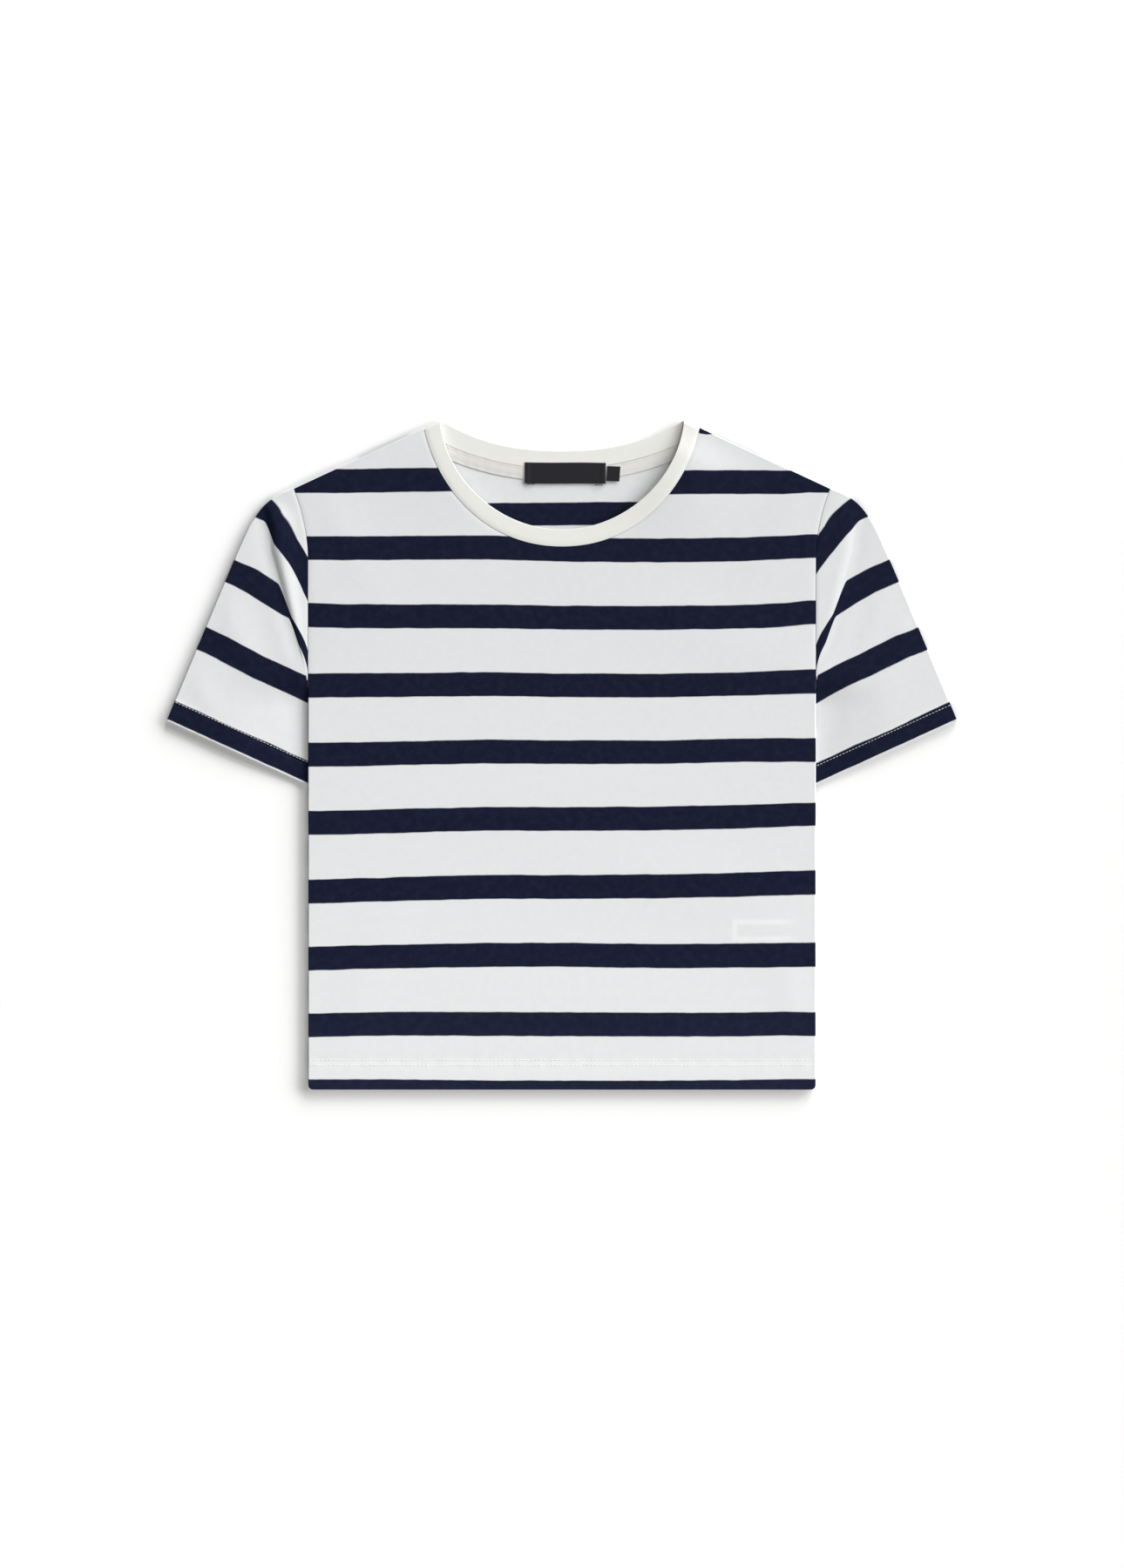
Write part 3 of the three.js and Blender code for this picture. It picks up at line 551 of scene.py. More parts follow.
def care_rim(tree):
    """How much a place lies over the rims of the care label."""
    calc = partial(math_node, tree)
    spot = node_in(tree, "ShaderNodeTexCoord").outputs["Object"]
    place = node_in(tree, "ShaderNodeSeparateXYZ", {0: spot}).outputs
    beyond = []
    for axis, middle, size in (("X", "x", "width"), ("Y", "y", "depth")):
        away = calc("SUBTRACT", place[axis], CARE_SHOWS[middle])
        away = calc("ABSOLUTE", away)
        beyond.append(calc("SUBTRACT", away, CARE_SHOWS[size] / 2 - CARE_RIM["inside"]))
    near = calc("ABSOLUTE", calc("MAXIMUM", *beyond))
    line = calc("MULTIPLY_ADD", near, -2.0 / CARE_RIM["width"], 1.1, clamp=True)
    start, end = CARE_RIM["fade"]
    run = end - start
    left = calc("MULTIPLY_ADD", place["X"], -1.0 / run, end / run, clamp=True)
    return calc("MULTIPLY", line, left)


def striped(material_name, over_care=False):
    """Yarn-dyed jersey: the plain knit with navy stripes across it. The navy is worn in random clouds, and
    painted lighter towards the hem as painted light.
    """
    material, tree, shader, cloth, knit, base = knitted(material_name, CREAM, CREAM_THIN)
    if over_care:
        base = mixed(tree, care_rim(tree), base, CARE_RIM["color"])
    feeds = {"Cloth": cloth, "Lean": knit["Lean"]}
    stripes = node_in(tree, "ShaderNodeGroup", feeds, node_tree=stripe_tree).outputs["Mask"]
    length = node_in(tree, "ShaderNodeSeparateXYZ", {0: cloth}).outputs["Y"]
    # Painted light: the navy grows lighter towards the hem, in place of the light from below
    lower = math_node(tree, "MULTIPLY_ADD", length, PAINTED_LIGHT_GAIN, -PAINTED_LIGHT_FROM * PAINTED_LIGHT_GAIN, clamp=True)
    clouds = math_node(tree, "MULTIPLY_ADD", knit["Cloud"], 2.0, -0.85, clamp=True)
    navy = mixed(tree, math_node(tree, "ADD", clouds, lower, clamp=True), NAVY, NAVY_WORN_AND_LIT)
    tree.links.new(mixed(tree, stripes, base, navy), shader.inputs["Base Color"])
    return material


HEM_ROWS_Y = (HEM_Y + 0.0187, HEM_Y + 0.0228)
HEM_PUCKER = dict(depth=0.00014, reach=0.0022, wave=0.0023)


def front_cover(x, y):
    """The front's relief with what the seams and the hem's stitches pull in, and the care label
    that stands out under it."""
    neck = neck_point("front_seam", np.linspace(0.0, 1.0, 60))
    neck = np.concatenate((neck[::-1] * (-1.0, 1.0), neck[1:]))
    relief = front_relief(x, y) - seam_dip(line_distance(x, y, neck))
    for side in (-1.0, 1.0):
        relief -= seam_dip(line_distance(x, y, armhole_line(side)))
    for row_y in HEM_ROWS_Y:
        pull = hump(y - row_y, HEM_PUCKER["reach"]) * HEM_PUCKER["depth"]
        relief -= pull * (1.0 + 0.4 * np.sin(x / HEM_PUCKER["wave"]))
    care_x = CARE_SHOWS["width"] / 2 - np.abs(x - CARE_SHOWS["x"])
    care_y = CARE_SHOWS["depth"] / 2 - np.abs(y - CARE_SHOWS["y"])
    return relief + CARE_SHOWS["rise"] * smooth(0.0, CARE_SHOWS["soft"], np.minimum(care_x, care_y))


front_x, front_y = panel_grid("front_seam")
front_bend = bend_at(front_x, front_y, BEND_COLUMNS, STRIPE_BENDS)
front_cloth = np.stack((front_x, STRIPE_TOP_FRONT - front_y - front_bend), -1)
# Beside the right neck point the stripes slip down over the shoulder
SLIP_PLACE, SLIP_REACH, SLIP = (0.112, 0.250), (0.014, 0.009), 0.0072
slip_x, slip_y = (front_x - SLIP_PLACE[0]) / SLIP_REACH[0], (front_y - SLIP_PLACE[1]) / SLIP_REACH[1]
front_cloth[..., 1] -= SLIP * np.exp(-(slip_x**2) - slip_y**2)
front_faces = panel_faces(front_x, front_y, True, front_cover(front_x, front_y))
front = wall_piece("front_panel", front_faces, front_cloth)
front.data.materials.append(striped("front_jersey", over_care=True))
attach(front, "root")
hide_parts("front")


def stitch_tree():
    """Stitches along lines: rounded threads at an even pitch, each a little different."""
    tree = bpy.data.node_groups.new("stitch_row", "GeometryNodeTree")
    sizes = {"Pitch": 0.003, "Length": 0.002, "Width": 0.0004, "Slant": 0.0}
    inputs = {"Lines": "Geometry", **sizes, "Thread": "Material"}
    start, end = ends_of(tree, inputs, {"Stitches": "Geometry"})

    def made(kind, feeds=None, output=0, **settings):
        return node_in(tree, kind, feeds, **settings).outputs[output]

    def uneven(low, high, seed):
        feeds = {2: low, 3: high, "Seed": seed}
        return made("FunctionNodeRandomValue", feeds, 1, data_type="FLOAT")

    curve = made("GeometryNodeMeshToCurve", {"Mesh": start["Lines"]})
    spaced = made("GeometryNodeResampleCurve", {"Curve": curve, "Length": start["Pitch"]}, mode="LENGTH")
    ball = made("GeometryNodeMeshUVSphere", {"Segments": 8, "Rings": 6, "Radius": 0.5})
    size = made("ShaderNodeCombineXYZ", {"X": start["Length"], "Y": start["Width"], "Z": start["Width"]})
    thread = made("GeometryNodeTransform", {"Geometry": ball, "Scale": size})
    tangent = made("GeometryNodeInputTangent")
    along = made("FunctionNodeAlignRotationToVector", {"Vector": tangent}, axis="X")
    slant = math_node(tree, "ADD", start["Slant"], uneven(-0.06, 0.06, seed=4))
    lean = made("FunctionNodeEulerToRotation", {"Euler": made("ShaderNodeCombineXYZ", {"Z": slant})})
    feeds = {"Rotation": along, "Rotate By": lean}
    turned = made("FunctionNodeRotateRotation", feeds, rotation_space="LOCAL")
    grown = uneven(0.88, 1.08, seed=9)
    feeds = {"Points": spaced, "Instance": thread, "Rotation": turned, "Scale": grown}
    real = made("GeometryNodeRealizeInstances", {"Geometry": made("GeometryNodeInstanceOnPoints", feeds)})
    dressed = made("GeometryNodeSetMaterial", {"Geometry": real, "Material": start["Thread"]})
    tree.links.new(dressed, end["Stitches"])
    return tree


stitch_nodes = stitch_tree()


def stitched(name, lines, sizes, thread):
    """Stitches along lines of places, as one plain mesh."""
    vertices, edges = [], []
    for line in lines:
        first = len(vertices)
        vertices.extend(line.tolist())
        edges.extend((first + i, first + i + 1) for i in range(len(line) - 1))
    mesh = bpy.data.meshes.new(name + "_lines")
    mesh.from_pydata(vertices, edges, [])
    piece = linked(bpy.data.objects.new(name, mesh))
    modifier = piece.modifiers.new("stitches", "NODES")
    modifier.node_group = stitch_nodes
    feeds = {**sizes, "Thread": thread}
    for item in stitch_nodes.interface.items_tree:
        if item.in_out == "INPUT" and item.name in feeds:
            modifier[item.identifier] = feeds[item.name]
    made = bpy.data.meshes.new_from_object(piece.evaluated_get(bpy.context.evaluated_depsgraph_get()))
    piece.modifiers.remove(modifier)
    piece.data = made
    made.shade_smooth()
    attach(piece, "root")
    return piece


def thread_material(name, color):
    """Spun thread: fine twist lines across each stitch."""
    material, tree, shader = new_material(name, color, 0.7)
    place = node_in(tree, "ShaderNodeTexCoord").outputs["Object"]
    darker = tuple(0.8 * c for c in color)
    twist = mixed(tree, noise_node(tree, place, 5200.0), color, darker)
    tree.links.new(twist, shader.inputs["Base Color"])
    return material


cream_thread = thread_material("cream_thread", (0.745, 0.735, 0.690))
hem_lines = []
for row_y in HEM_ROWS_Y:
    row_x = np.linspace(-BODY_HALF + 0.0015, BODY_HALF - 0.0015, 300)
    row = np.full_like(row_x, row_y)
    hem_lines.append(panel_faces(row_x, row, True, front_cover(row_x, row))[0])
hem_sizes = {"Pitch": 0.0031, "Length": 0.0023, "Width": 0.00048}
hem_stitches = stitched("hem_stitches", hem_lines, hem_sizes, cream_thread)

# Back
# The back panel is the same jersey with a shallow neck. It rests on the table, its inside shows
# through the neck, and its sides lie over the tucked corners of the sleeves.
BACK_STRIPES = dict(
    y=(HEM_Y, 0.1770, 0.1947, 0.2600),
    cloth=(0.1770 - HEM_Y + STRIPE_WIDTH, STRIPE_WIDTH, 0.0, -0.0652),
)
jersey = striped("striped_jersey")
back_x, back_y = panel_grid("back_seam")
back_cloth = np.interp(back_y, BACK_STRIPES["y"], BACK_STRIPES["cloth"]) + 0.0006 * np.sin(back_x / 0.06)
back_cloth = np.stack((back_x, back_cloth), -1)
back = wall_piece("back_panel", panel_faces(back_x, back_y, False, 0.0), back_cloth)
back.data.materials.append(jersey)
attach(back, "root")
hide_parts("back")

# Sleeves
# Each short sleeve is one piece of the jersey, set into the armhole and closed under the arm.
# It lies flat with a soft roll beside the armhole, and its underarm is tucked under the body.
SLEEVE_HEIGHT = 0.0033
SLEEVE_HEM_DEPTH, SLEEVE_HEM_EXTRA = 0.0168, 0.00025
SLEEVE_ROWS = {"left": 0.0162, "right": 0.0136}
SLEEVE_EDGE_THIN = 0.00035
TUCK_HEIGHT, TUCK_RUN = 0.0016, (0.060, 0.004)
ROLL_WIDTH, ROLL_TAPER, ROLL_PEAK = 0.028, 0.28, 2.6
ROLL_FROM_Y, ROLL_TO_Y = (0.064, 0.084), (0.200, 0.180)
CREASE_AWAY, CREASE_WIDTH = 0.004, 0.006
ARMHOLE_GAP = 0.0003
RING_BELLY = 0.016
SLEEVE_HEAD = (
    (0.2067, 0.2054), (0.2176, 0.2009), (0.2283, 0.1935), (0.2390, 0.1795),
    (0.2480, 0.1610), (0.2765, 0.0942), SLEEVE_HEM,
)
UNDERARM = (
    (BODY_HALF + ARMHOLE_GAP, ARMPIT_Y),
    UNDERARM_OUT,
    (mix(SLEEVE_HEM_HIDDEN[0], UNDERARM_OUT[0], 0.55), 0.011),
    SLEEVE_HEM_HIDDEN,
)
SLEEVE_FOLDS = {
    "left": (
        (0.246, 0.084, 64, 0.060, 0.013, 0.00040),
        (0.214, 0.022, 72, 0.036, 0.008, 0.00030),
        (0.276, 0.046, 60, 0.034, 0.010, 0.00025),
    ),
    "right": (
        (0.232, 0.076, 70, 0.058, 0.011, 0.00040),
        (0.262, 0.088, 62, 0.060, 0.013, 0.00035),
        (0.216, 0.014, 66, 0.034, 0.008, 0.00030),
    ),
}
# How high the roll beside each armhole stands, how deep the crease next to it is, and how much
# cloth the roll takes up, at the seam and at the crease
ROLLS = {
    "left": dict(
        rise=0.0015, dip=0.0003, at_armpit=0.0385, from_y=0.125, fall=0.30, at_crease=(0.0157, 0.0157)
    ),
    "right": dict(
        rise=0.0003, dip=0.0002, at_armpit=0.0375, from_y=0.066, fall=0.22, at_crease=(0.0150, 0.0030)
    ),
}
# Stripe places by the distance from the sleeve's hem, and how far they bend up from them, in
# millimetres, from the outer end of the hem to the body
SLEEVE_STRIPES = dict(
    distance=(0.0, 0.0019, 0.0157, 0.0586, 0.0775, 0.1152, 0.1341, 0.1718, 0.1907, 0.2285),
    cloth=(-0.0019, 0.0, 0.0185, 0.05238, 0.07088, 0.10476, 0.12326, 0.15714, 0.17564, 0.20952),
)
ROLL_INNER, CREASE_FROM_Y, TAKEN_UP_TO_Y = (1.10, 0.92), (0.125, 0.168), (0.204, 0.164)
SLEEVE_BEND_COLUMNS = (0.004, 0.016, 0.032, 0.048, 0.064, 0.080, 0.096)
SLEEVE_BENDS = {
    "left": {
        0.002: (0.0, 0.0, 0.0, 0.0, 0.0, 0.0, 0.0),
        0.016: (1.5, 1.7, 1.5, 1.1, 1.5, 1.7, 1.6),
        0.068: (1.6, 1.3, 0.3, -0.6, -0.7, -0.7, -1.0),
        0.125: (1.3, 0.6, -1.8, -4.0, -4.8, -2.0, 0.0),
        0.160: (-0.6, 4.0, 1.7, -0.4, 0.2, -0.7, 0.0),
        0.181: (0.0, -0.2, 2.8, 1.1, 0.0, 0.0, 0.0),
    },
    "right": {
        0.002: (0.0, 0.0, 0.0, 0.0, 0.0, 0.0, 0.0),
        0.016: (0.3, 0.4, 0.1, -0.5, 0.0, 0.2, 0.0),
        0.068: (1.3, 2.2, 1.8, 1.3, 1.4, 0.3, -1.5),
        0.125: (1.4, 1.8, 0.3, -2.3, -6.3, -3.8, 0.0),
        0.181: (0.3, -1.0, -2.2, -1.0, 0.0, 0.0, 0.0),
    },
}


def spline(points, count):
    """A centripetal spline through points, with count places spaced evenly along it."""
    known = [np.array(p, float) for p in points]
    known = [2 * known[0] - known[1], *known, 2 * known[-1] - known[-2]]
    out = []
    t = np.linspace(0.0, 1.0, 60)[:, None]
    for p0, p1, p2, p3 in zip(known[:-3], known[1:-2], known[2:-1], known[3:]):
        d0, d1, d2 = (math.sqrt(np.linalg.norm(b - a)) for a, b in ((p0, p1), (p1, p2), (p2, p3)))
        t1 = ((p1 - p0) / d0 - (p2 - p0) / (d0 + d1) + (p2 - p1) / d1) * d1
        t2 = ((p2 - p1) / d1 - (p3 - p1) / (d1 + d2) + (p3 - p2) / d2) * d1
        curve = p1 + t1 * t + (3 * p2 - 3 * p1 - 2 * t1 - t2) * t**2 + (2 * p1 - 2 * p2 + t1 + t2) * t**3
        out.append(curve[:-1])
    out = np.concatenate((*out, known[-2][None]))
    run = np.concatenate(([0.0], np.cumsum(np.linalg.norm(np.diff(out, axis=0), axis=1))))
    even = np.linspace(0.0, run[-1], count)
    return np.stack([np.interp(even, run, out[:, i]) for i in (0, 1)], 1), run[-1]


def at_share(line, share):
    places = np.linspace(0.0, 1.0, len(line))
    return np.stack([np.interp(share, places, line[:, i]) for i in (0, 1)], -1)


head_line, head_length = spline(SLEEVE_HEAD, 400)
under_line, under_length = spline(UNDERARM, 120)


def ring_places(share, inset, run):
    """Places over the sleeve: share runs from armhole to hem, and run from top to underarm."""
    top = at_share(head_line, (1.0 - inset / head_length) * share)
    bottom = at_share(under_line, (1.0 - inset / under_length) * share)
    y = mix(head_line[0, 1], ARMPIT_Y, run)
    seam = side_x(y) + ARMHOLE_GAP - mix(head_line[0, 0], BODY_HALF + ARMHOLE_GAP, run)
    belly = RING_BELLY * np.sin(np.pi * np.minimum(1.0, share * 1.6)) ** 2
    bend = belly * 4.0 * run**3 * (1.0 - run)
    x = mix(top[..., 0], bottom[..., 0], run) + seam * (1.0 - share) ** 3 + bend
    return x, mix(top[..., 1], bottom[..., 1], run)


def roll_share(x, y):
    """How far a place is from the armhole, in widths of the roll."""
    width = np.minimum(ROLL_WIDTH, ROLL_TAPER * np.maximum(0.004, y - ARMPIT_Y + 0.003))
    return (x - side_x(y)) / width, width


def sleeve_top(x, y, hem, hand):
    out = x - side_x(y)
    share, width = roll_share(x, y)
    ends = smooth(*ROLL_FROM_Y, y) * smooth(*ROLL_TO_Y, y)
    plain = mix(BODY_HEIGHT, SLEEVE_HEIGHT, smooth(0.0, 0.040, out))
    raised = np.sin(np.pi * np.clip(share, 0.0, 1.0) ** ROLL_PEAK) * ends
    raised = raised * ROLLS[hand]["rise"] * width / ROLL_WIDTH
    dip = ROLLS[hand]["dip"] * hump(out - width - CREASE_AWAY, CREASE_WIDTH) * ends
    edge_x, edge_y = SLEEVE_HEAD[4]
    lean = (SLEEVE_HEM[0] - edge_x) / (edge_y - SLEEVE_HEM[1])
    inwards = (SLEEVE_HEM[0] - lean * (y - SLEEVE_HEM[1]) - x) / math.hypot(1.0, lean)
    relief = folds_height(SLEEVE_FOLDS[hand], x, y)
    relief = relief * smooth(0.004, 0.020, out) * smooth(0.0, 0.016, inwards)
    relief -= seam_dip(out - ARMHOLE_GAP) * smooth(ARMPIT_Y - 0.005, ARMPIT_Y + 0.010, y)
    tucked = smooth(ARMPIT_Y + 0.004, 0.036, y) * smooth(*TUCK_RUN, out)
    height = plain + raised - dip + relief + SLEEVE_HEM_EXTRA * hem
    return mix(height, TUCK_HEIGHT + 2 * SLEEVE_HEM_EXTRA * hem, tucked)


HEM_NORMAL = np.array((SLEEVE_HEM[1] - SLEEVE_HEM_HIDDEN[1], SLEEVE_HEM_HIDDEN[0] - SLEEVE_HEM[0]))
HEM_NORMAL = -HEM_NORMAL / np.linalg.norm(HEM_NORMAL)


def sleeve_stripe(x, y, hand):
    """The cloth's length coordinate on a sleeve, from its hem up."""
    sizes = ROLLS[hand]
    across, up = x - SLEEVE_HEM[0], y - SLEEVE_HEM[1]
    distance = across * HEM_NORMAL[0] + up * HEM_NORMAL[1]
    along = -across * HEM_NORMAL[1] + up * HEM_NORMAL[0]
    distance = distance - bend_at(along, distance, SLEEVE_BEND_COLUMNS, SLEEVE_BENDS[hand])
    share = roll_share(x, y)[0]
    inner = smooth(*ROLL_INNER, share) * smooth(ARMPIT_Y - 0.004, ARMPIT_Y + 0.004, y)
    at_seam = sizes["at_armpit"] - sizes["fall"] * np.maximum(0.0, y - sizes["from_y"])
    at_crease = np.minimum(mix(*sizes["at_crease"], smooth(*CREASE_FROM_Y, y)), at_seam)
    taken = mix(at_seam, at_crease, np.clip(share, 0.0, 1.0)) * smooth(*TAKEN_UP_TO_Y, y)
    distance = distance + taken * inner
    return np.interp(distance, SLEEVE_STRIPES["distance"], SLEEVE_STRIPES["cloth"])


RING_SHARES = np.concatenate((np.linspace(0.0, 0.24, 42), np.linspace(0.24, 1.0, 64)[1:]))
HEM_RING_INSETS = (18.4, 17.8, 17.3, 16.8, 14.0, 11.0, 8.4, 6.0, 4.0, 2.0, 0.9, 0.4, 0.12, 0.0)
HEM_RING_INSETS = np.array(HEM_RING_INSETS) * 0.001
UNDER_INSETS = np.array((9.0, 6.5, 4.5, 3.0, 2.0, 1.2, 0.7, 0.3, 0.1, 0.0)) * 0.001
RUN_COLUMNS = 56
# The way outwards at the underarm, and the way of the cloth's width on a sleeve
UNDER_WAY, WIDTH_WAY = np.array((0.94, -0.34)), (0.91, 0.41)


def sleeve_piece(name, side, hand):
    share = np.concatenate((RING_SHARES, np.ones(len(HEM_RING_INSETS) - 1)))[:, None]
    inset = np.concatenate((np.full(len(RING_SHARES), HEM_RING_INSETS[0]), HEM_RING_INSETS[1:]))[:, None]
    start = np.stack(ring_places(share, inset, np.zeros_like(share)), -1)
    stop = np.stack(ring_places(share, inset, np.ones_like(share)), -1)
    length = np.linalg.norm(start - stop, axis=-1)
    first, last = EDGE_INSETS / length, 1.0 - UNDER_INSETS / length
    between = mix(first[:, -1:], last[:, :1], np.linspace(0.0, 1.0, RUN_COLUMNS)[1:-1])
    run = np.concatenate((first, between, last), 1)
    x, y = ring_places(share, inset, run)
    ahead_x, ahead_y = ring_places(share, inset, np.minimum(1.0, run + 0.02))
    behind_x, behind_y = ring_places(share, inset, np.minimum(0.98, run))
    way = np.stack((ahead_x - behind_x, ahead_y - behind_y), -1)
    way /= np.linalg.norm(way, axis=-1, keepdims=True)
    under, head = line_distance(x, y, under_line[::6]), run * length
    hem = smooth(SLEEVE_HEM_DEPTH + HEM_STEP, SLEEVE_HEM_DEPTH, inset)
    round_off = 1.0 - np.clip(inset / EDGE_ROUND, 0.0, 1.0)
    top = sleeve_top(x, y, hem, hand)
    middle = top / 2
    rise = fold_rise(head, FOLD_REACH) * fold_rise(under, FOLD_REACH)
    faces = []
    for depth in (0.0, 1.0):
        wall = (CLOTH + SLEEVE_HEM_EXTRA * hem) * depth
        shift = way * (wall * fold_out(head, FOLD_REACH))[..., None]
        shift = shift + UNDER_WAY * (wall * fold_out(under, FOLD_REACH))[..., None]
        half = (middle - wall - SLEEVE_EDGE_THIN * round_off**2 * (1.0 - 2.0 * depth)) * rise
        flat_x, flat_y = side * (x + shift[..., 0]), y + shift[..., 1]
        upper = np.stack((flat_x, flat_y, middle + half), -1)
        lower = np.stack((flat_x, flat_y, middle - half), -1)
        faces.append(np.concatenate((upper, lower[:, -2:0:-1]), 1))
    cloth = np.stack((y * WIDTH_WAY[1] + x * WIDTH_WAY[0], sleeve_stripe(x, y, hand)), -1)
    cloth = np.concatenate((cloth, cloth[:, -2:0:-1]), 1)
    piece = wall_piece(name, faces, cloth, tube=True)
    piece.data.materials.append(jersey)
    return piece


for hand, side in (("left", -1.0), ("right", 1.0)):
    sleeve = sleeve_piece(f"sleeve_{hand}_cloth", side, hand)
    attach(sleeve, "root")
    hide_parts(f"sleeve_{hand}")
    row_run = np.linspace(0.0012, 0.130, 160)
    row_x = SLEEVE_HEM[0] - HEM_NORMAL[1] * row_run + HEM_NORMAL[0] * SLEEVE_ROWS[hand]
    row_y = SLEEVE_HEM[1] + HEM_NORMAL[0] * row_run + HEM_NORMAL[1] * SLEEVE_ROWS[hand]
    shown = row_x > BODY_HALF + 0.0012
    row_top = sleeve_top(row_x, row_y, 1.0, hand)
    row = np.stack((side * row_x, row_y, row_top), 1)[shown]
    row_sizes = {"Pitch": 0.0027, "Length": 0.0021, "Width": 0.00042}
    row_stitches = stitched(f"sleeve_{hand}_stitches", [row], row_sizes, cream_thread)

# Neckband
# The neckband is a strip of fine rib doubled lengthwise and closed into a ring, sewn to the neck
# edge all round. Its front lies on the front panel's level, and its back on the table.
BAND_HEIGHT, BAND_CLOTH = 0.0043, 0.0017
BAND_FOLD_REACH, BAND_EDGE_REACH, BAND_EDGE_SHARE = 0.0024, 0.0003, 0.8
BAND_SINK, BAND_SINK_WIDTH = 0.0002, 0.0014
BAND_STEPS = 84
BAND_ACROSS = np.array((0.0, 0.006, 0.02, 0.045, 0.08, 0.14, 0.24, 0.38, 0.54, 0.70, 0.84, 0.93, 0.98, 1.0))


def band_faces(side, part):
    """Outer and inner points and cloth coordinates of half of the band's front or back, from the
    centre to the neck point."""
    step = 1.0 - np.linspace(1.0, 0.0, BAND_STEPS) ** 1.7
    free, sewn = neck_point(part + "_edge", step), neck_point(part + "_seam", step)
    width = np.linalg.norm(free - sewn, axis=1)
    share = BAND_ACROSS[None, :, None] * (1.0 - SEAM_GAP / width)[:, None, None]
    place = free[:, None] + (sewn - free)[:, None] * share
    along = np.gradient(place, axis=0)
    along /= np.linalg.norm(along, axis=-1, keepdims=True)
    x, y = place[..., 0], place[..., 1]
    distance = shoulder_distance(x, y)
    rise = fold_rise(distance, BAND_FOLD_REACH)
    across = BAND_ACROSS * width[:, None]
    edge_rise = mix(BAND_EDGE_SHARE, 1.0, fold_rise(across, BAND_EDGE_REACH))
    seam_sink = BAND_SINK * hump(width[:, None] - across, BAND_SINK_WIDTH)
    is_front = part == "front"
    middle = BAND_HEIGHT / 2
    relief = front_relief(side * x, y) if is_front else 0.0
    centre = middle + relief - BAND_CLOTH / 2
    faces = []
    for depth in (0.0, 1.0):
        shift = depth * BAND_CLOTH * fold_out(distance, BAND_FOLD_REACH)
        level = (centre + (0.5 - depth) * BAND_CLOTH * edge_rise - (1.0 - depth) * seam_sink) * rise
        flat = place - along * shift[..., None]
        height = middle + level if is_front else middle - level
        faces.append(np.stack((side * flat[..., 0], flat[..., 1], height), -1))
    run = np.concatenate(([0.0], np.cumsum(np.linalg.norm(np.diff(place[:, 0], axis=0), axis=1))))
    cloth = np.stack((side * run[:, None] * np.ones_like(x), across), -1)
    return faces, cloth


def neckband_piece():
    quarters = []
    for side, part, reverse in (
        (1.0, "front", False),
        (1.0, "back", True),
        (-1.0, "back", False),
        (-1.0, "front", True),
    ):
        faces, cloth = band_faces(side, part)
        order = slice(None, None, -1) if reverse else slice(None)
        quarters.append([grid[order][1:] for grid in (*faces, cloth)])
    joined = [np.concatenate([quarter[i] for quarter in quarters]) for i in range(3)]
    return wall_piece("neckband_rib", joined[:2], joined[2], ring=True)


rib, *_ = knitted("fine_rib", (0.717, 0.717, 0.689), (0.698, 0.695, 0.663), wale=0.0011)
neckband = neckband_piece()
neckband.data.materials.append(rib)
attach(neckband, "root")
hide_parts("neckband")

# Neck tape
# A narrow strip of plain jersey covers the back neck seam inside, from shoulder to shoulder,
# and is sewn down along both edges.
TAPE_WIDTH, TAPE_END, TAPE_LOW = 0.0098, 0.8, 0.00085
TAPE_HIGH = (0.0017, 0.0011)
TAPE_EDGE, TAPE_EDGE_REACH = 0.0001, 0.0005
TAPE_SEWN_IN, TAPE_PINCH, TAPE_PINCH_WIDTH = 0.0014, 0.00012, 0.0009
TAPE_WAVE, TAPE_WAVE_LENGTH, TAPE_WAVE_WIDTH = 0.00005, 0.0013, 0.002
TAPE_STEPS = 90
TAPE_ACROSS = np.array((0.0, 0.02, 0.06, 0.13, 0.25, 0.5, 0.75, 0.87, 0.94, 0.98, 1.0))


def tape_places(away):
    """Places along the tape at a distance below the back neck seam."""
    step = np.abs(np.linspace(-TAPE_END, TAPE_END, 2 * TAPE_STEPS + 1))
    side = np.where(np.arange(len(step)) < TAPE_STEPS, -1.0, 1.0)
    here, ahead = neck_point("back_seam", step), neck_point("back_seam", step + 0.001)
    along = (ahead - here) / np.linalg.norm(ahead - here, axis=1, keepdims=True)
    x = here[:, None, 0] + along[:, None, 1] * away
    y = here[:, None, 1] - along[:, None, 0] * away
    return side[:, None] * x, y


tape_x, tape_y = tape_places(SEAM_GAP + TAPE_WIDTH * TAPE_ACROSS)
tape_away = np.minimum(TAPE_ACROSS, 1.0 - TAPE_ACROSS) * TAPE_WIDTH
tape_edge = TAPE_EDGE * (1.0 - fold_rise(tape_away, TAPE_EDGE_REACH))
tape_pinch = TAPE_PINCH * hump(tape_away - TAPE_SEWN_IN, TAPE_PINCH_WIDTH)
tape_waves = TAPE_WAVE * np.sin(tape_x / TAPE_WAVE_LENGTH) * hump(tape_away - TAPE_SEWN_IN, TAPE_WAVE_WIDTH)
tape_top = mix(*TAPE_HIGH, TAPE_ACROSS) - tape_edge - tape_pinch + tape_waves
tape_faces = [
    np.stack((tape_x, tape_y, tape_top), -1),
    np.stack((tape_x, tape_y, np.full_like(tape_x, TAPE_LOW) + tape_edge * 0.5), -1),
]
tape_cloth = np.stack((tape_x, tape_y), -1)
tape_material, *_ = knitted("tape_jersey", (0.693, 0.690, 0.665), (0.665, 0.662, 0.637))
tape = wall_piece("neck_tape_strip", tape_faces, tape_cloth)
tape.data.materials.append(tape_material)
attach(tape, "root")
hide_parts("neck_tape")
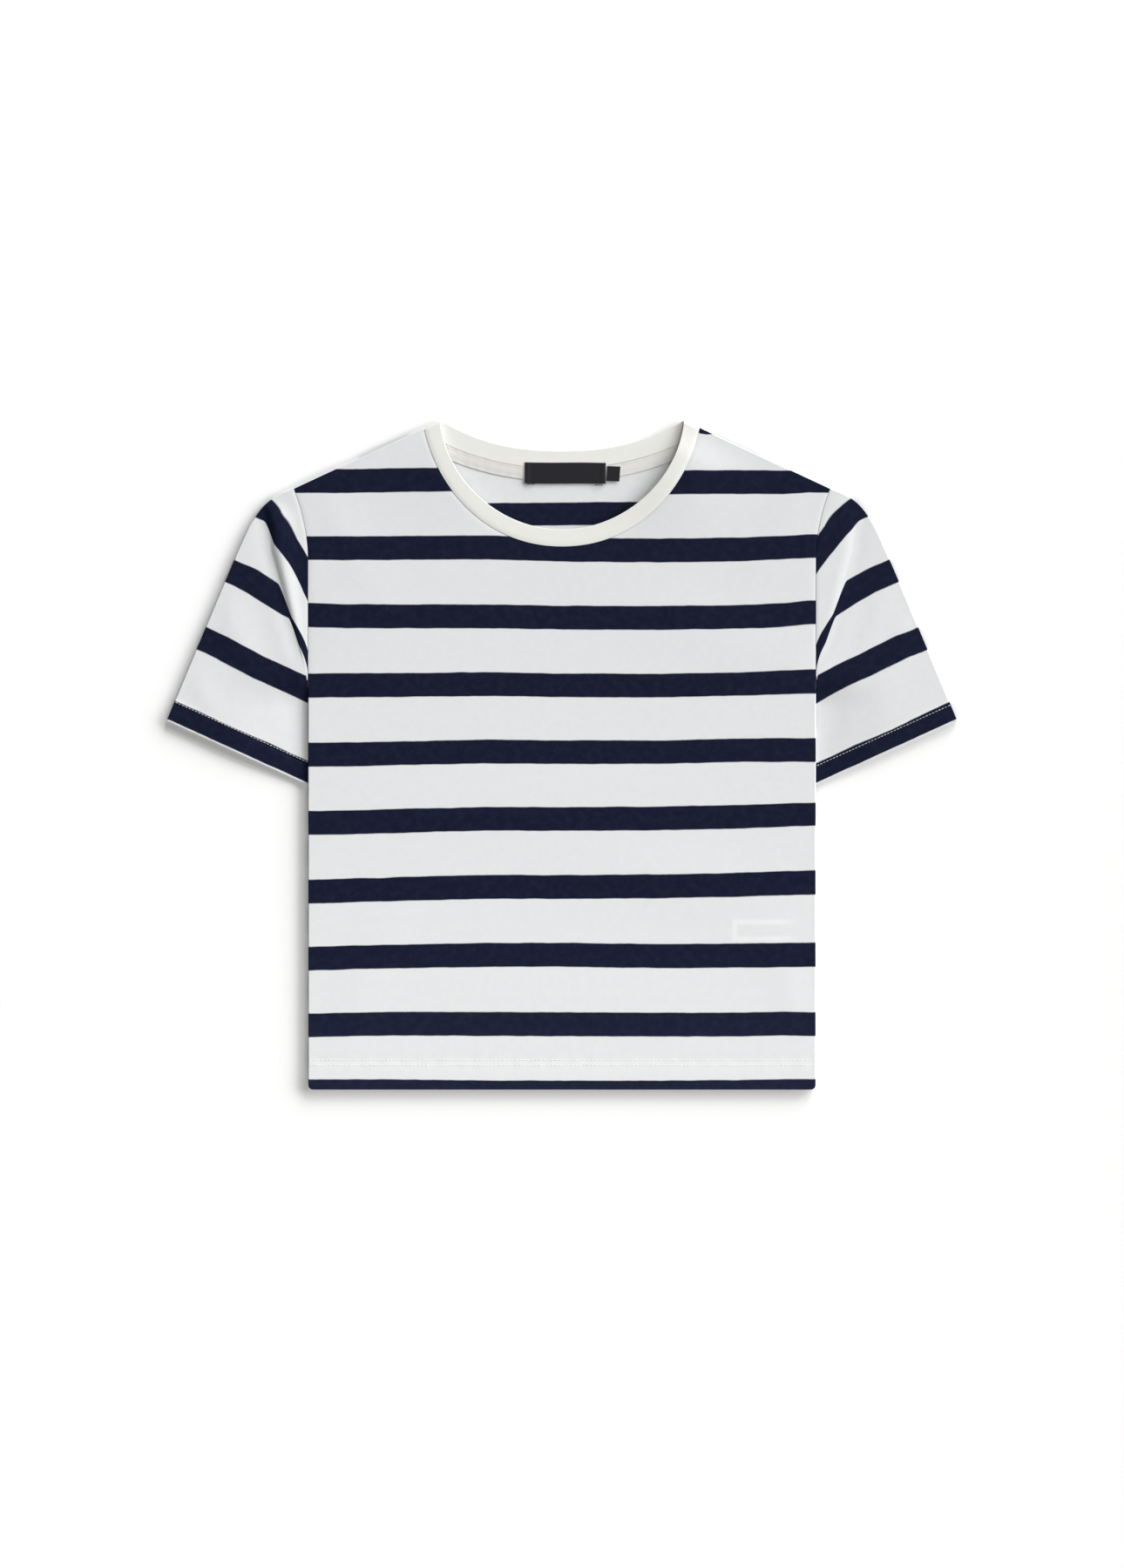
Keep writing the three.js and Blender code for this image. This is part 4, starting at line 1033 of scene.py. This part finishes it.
for name, away, sizes in (
    ("tape_stitches_upper", 0.0016, {"Pitch": 0.0017, "Length": 0.0019, "Width": 0.00036, "Slant": 0.7}),
    ("tape_stitches_lower", 0.0087, {"Pitch": 0.0021, "Length": 0.0013, "Width": 0.00034}),
):
    line_x, line_y = tape_places(np.array([away]))
    line_z = np.full(len(line_x), mix(*TAPE_HIGH, away / TAPE_WIDTH) - 0.0001)
    line = np.stack((line_x[:, 0], line_y[:, 0], line_z), 1)
    stitched(name, [line], sizes, cream_thread)

# Labels
# The main label is a strip of black satin with folded ends, tacked to the tape, with a small size
# tab beside it. A folded white care label lies inside, caught in the right side seam.
MAIN_LABEL = dict(
    x=0.0025, y=0.2174, turn=-0.6, width=0.0624, depth=0.0162,
    low=0.0018, high=0.0024, lean=0.0005, fold=0.0030, wave=0.00006,
)
SIZE_LABEL = dict(
    x=0.0396, y=0.2169, turn=-4.0, width=0.0102, depth=0.0115,
    low=0.0018, high=0.0023, lean=0.0003, fold=0.0, wave=0.00003,
)
LABEL_TACKS = ((-0.0262, 0.2090), (0.0264, 0.2082))
CARE_LABEL = dict(
    x=0.1616, y=-0.1367, turn=0.0, width=0.061, depth=0.020,
    low=0.0013, high=0.0023, lean=0.0, fold=0.0, wave=0.0,
)
LABEL_RIM, LABEL_RIM_REACH = 0.00018, 0.0006


def rim_shares(rim, rim_count, count):
    """Shares from 0 to 1, close together within a rim at both ends."""
    middle = np.linspace(rim, 1.0 - rim, count)[1:-1]
    return np.concatenate((np.linspace(0.0, rim, rim_count), middle, np.linspace(1.0 - rim, 1.0, rim_count)))


def label_piece(name, sizes, material, node):
    """A flat strip with soft edges, thicker where its ends are folded under."""
    along, across = rim_shares(0.06, 8, 40), rim_shares(0.1, 6, 14)
    u, v = np.meshgrid((along - 0.5) * sizes["width"], (across - 0.5) * sizes["depth"])
    to_end = sizes["width"] / 2 - np.abs(u)
    to_edge = np.minimum(to_end, sizes["depth"] / 2 - np.abs(v))
    rim = LABEL_RIM * (1.0 - fold_rise(to_edge, LABEL_RIM_REACH))
    doubled = smooth(sizes["fold"] + 0.0004, sizes["fold"], to_end)
    sag = sizes["wave"] * (np.sin(u / 0.009 + 0.7) * np.sin(v / 0.006 + 0.4) - 0.5)
    fall = sizes["lean"] * (0.5 - v / sizes["depth"])
    top = sizes["high"] - fall - LABEL_RIM * (1.0 - doubled) - rim + sag
    low = sizes["low"] - fall + rim * 0.4
    turn = math.radians(sizes["turn"])
    wander = 0.0002 * np.sin(u / 0.011) * np.abs(v) / (sizes["depth"] / 2)
    x = sizes["x"] + u * math.cos(turn) - (v + wander) * math.sin(turn)
    y = sizes["y"] + u * math.sin(turn) + (v + wander) * math.cos(turn)
    piece = wall_piece(name, [np.stack((x, y, top), -1), np.stack((x, y, low), -1)], np.stack((u, v), -1))
    piece.data.materials.append(material)
    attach(piece, "root")
    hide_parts(node)


def satin(name, color, thread_color, roughness):
    """Satin ribbon: fine threads along it, with a soft gloss."""
    material, tree, shader = new_material(name, color, roughness)
    feeds = {"Vector": cloth_place(tree), "Scale": (350.0, 3200.0, 1.0)}
    place = node_in(tree, "ShaderNodeMapping", feeds).outputs["Vector"]
    threads = noise_node(tree, place, 1.0)
    tree.links.new(mixed(tree, threads, color, thread_color), shader.inputs["Base Color"])
    add_bump(tree, shader, threads, strength=0.25, distance=0.0001)
    shader.inputs["Specular IOR Level"].default_value = 0.4
    return material


black_satin = satin("black_satin", (0.0078, 0.0072, 0.0100), (0.0150, 0.0142, 0.0185), 0.42)
white_satin = satin("white_satin", (0.80, 0.80, 0.79), (0.86, 0.86, 0.85), 0.5)
black_thread = thread_material("black_thread", (0.012, 0.012, 0.015))
tack_sizes = {"Pitch": 0.0019, "Length": 0.0021, "Width": 0.0007, "Slant": 0.25}
tack_lines = [
    np.array(((x, y, 0.0019), (x + 0.0021, y, 0.0018), (x + 0.0042, y, 0.0019))) for x, y in LABEL_TACKS
]
main_tacks = stitched("label_tacks", tack_lines, tack_sizes, black_thread)
label_piece("woven_label", MAIN_LABEL, black_satin, "main_label")
label_piece("size_tab", SIZE_LABEL, black_satin, "size_label")
label_piece("care_label_fold", CARE_LABEL, white_satin, "care_label")
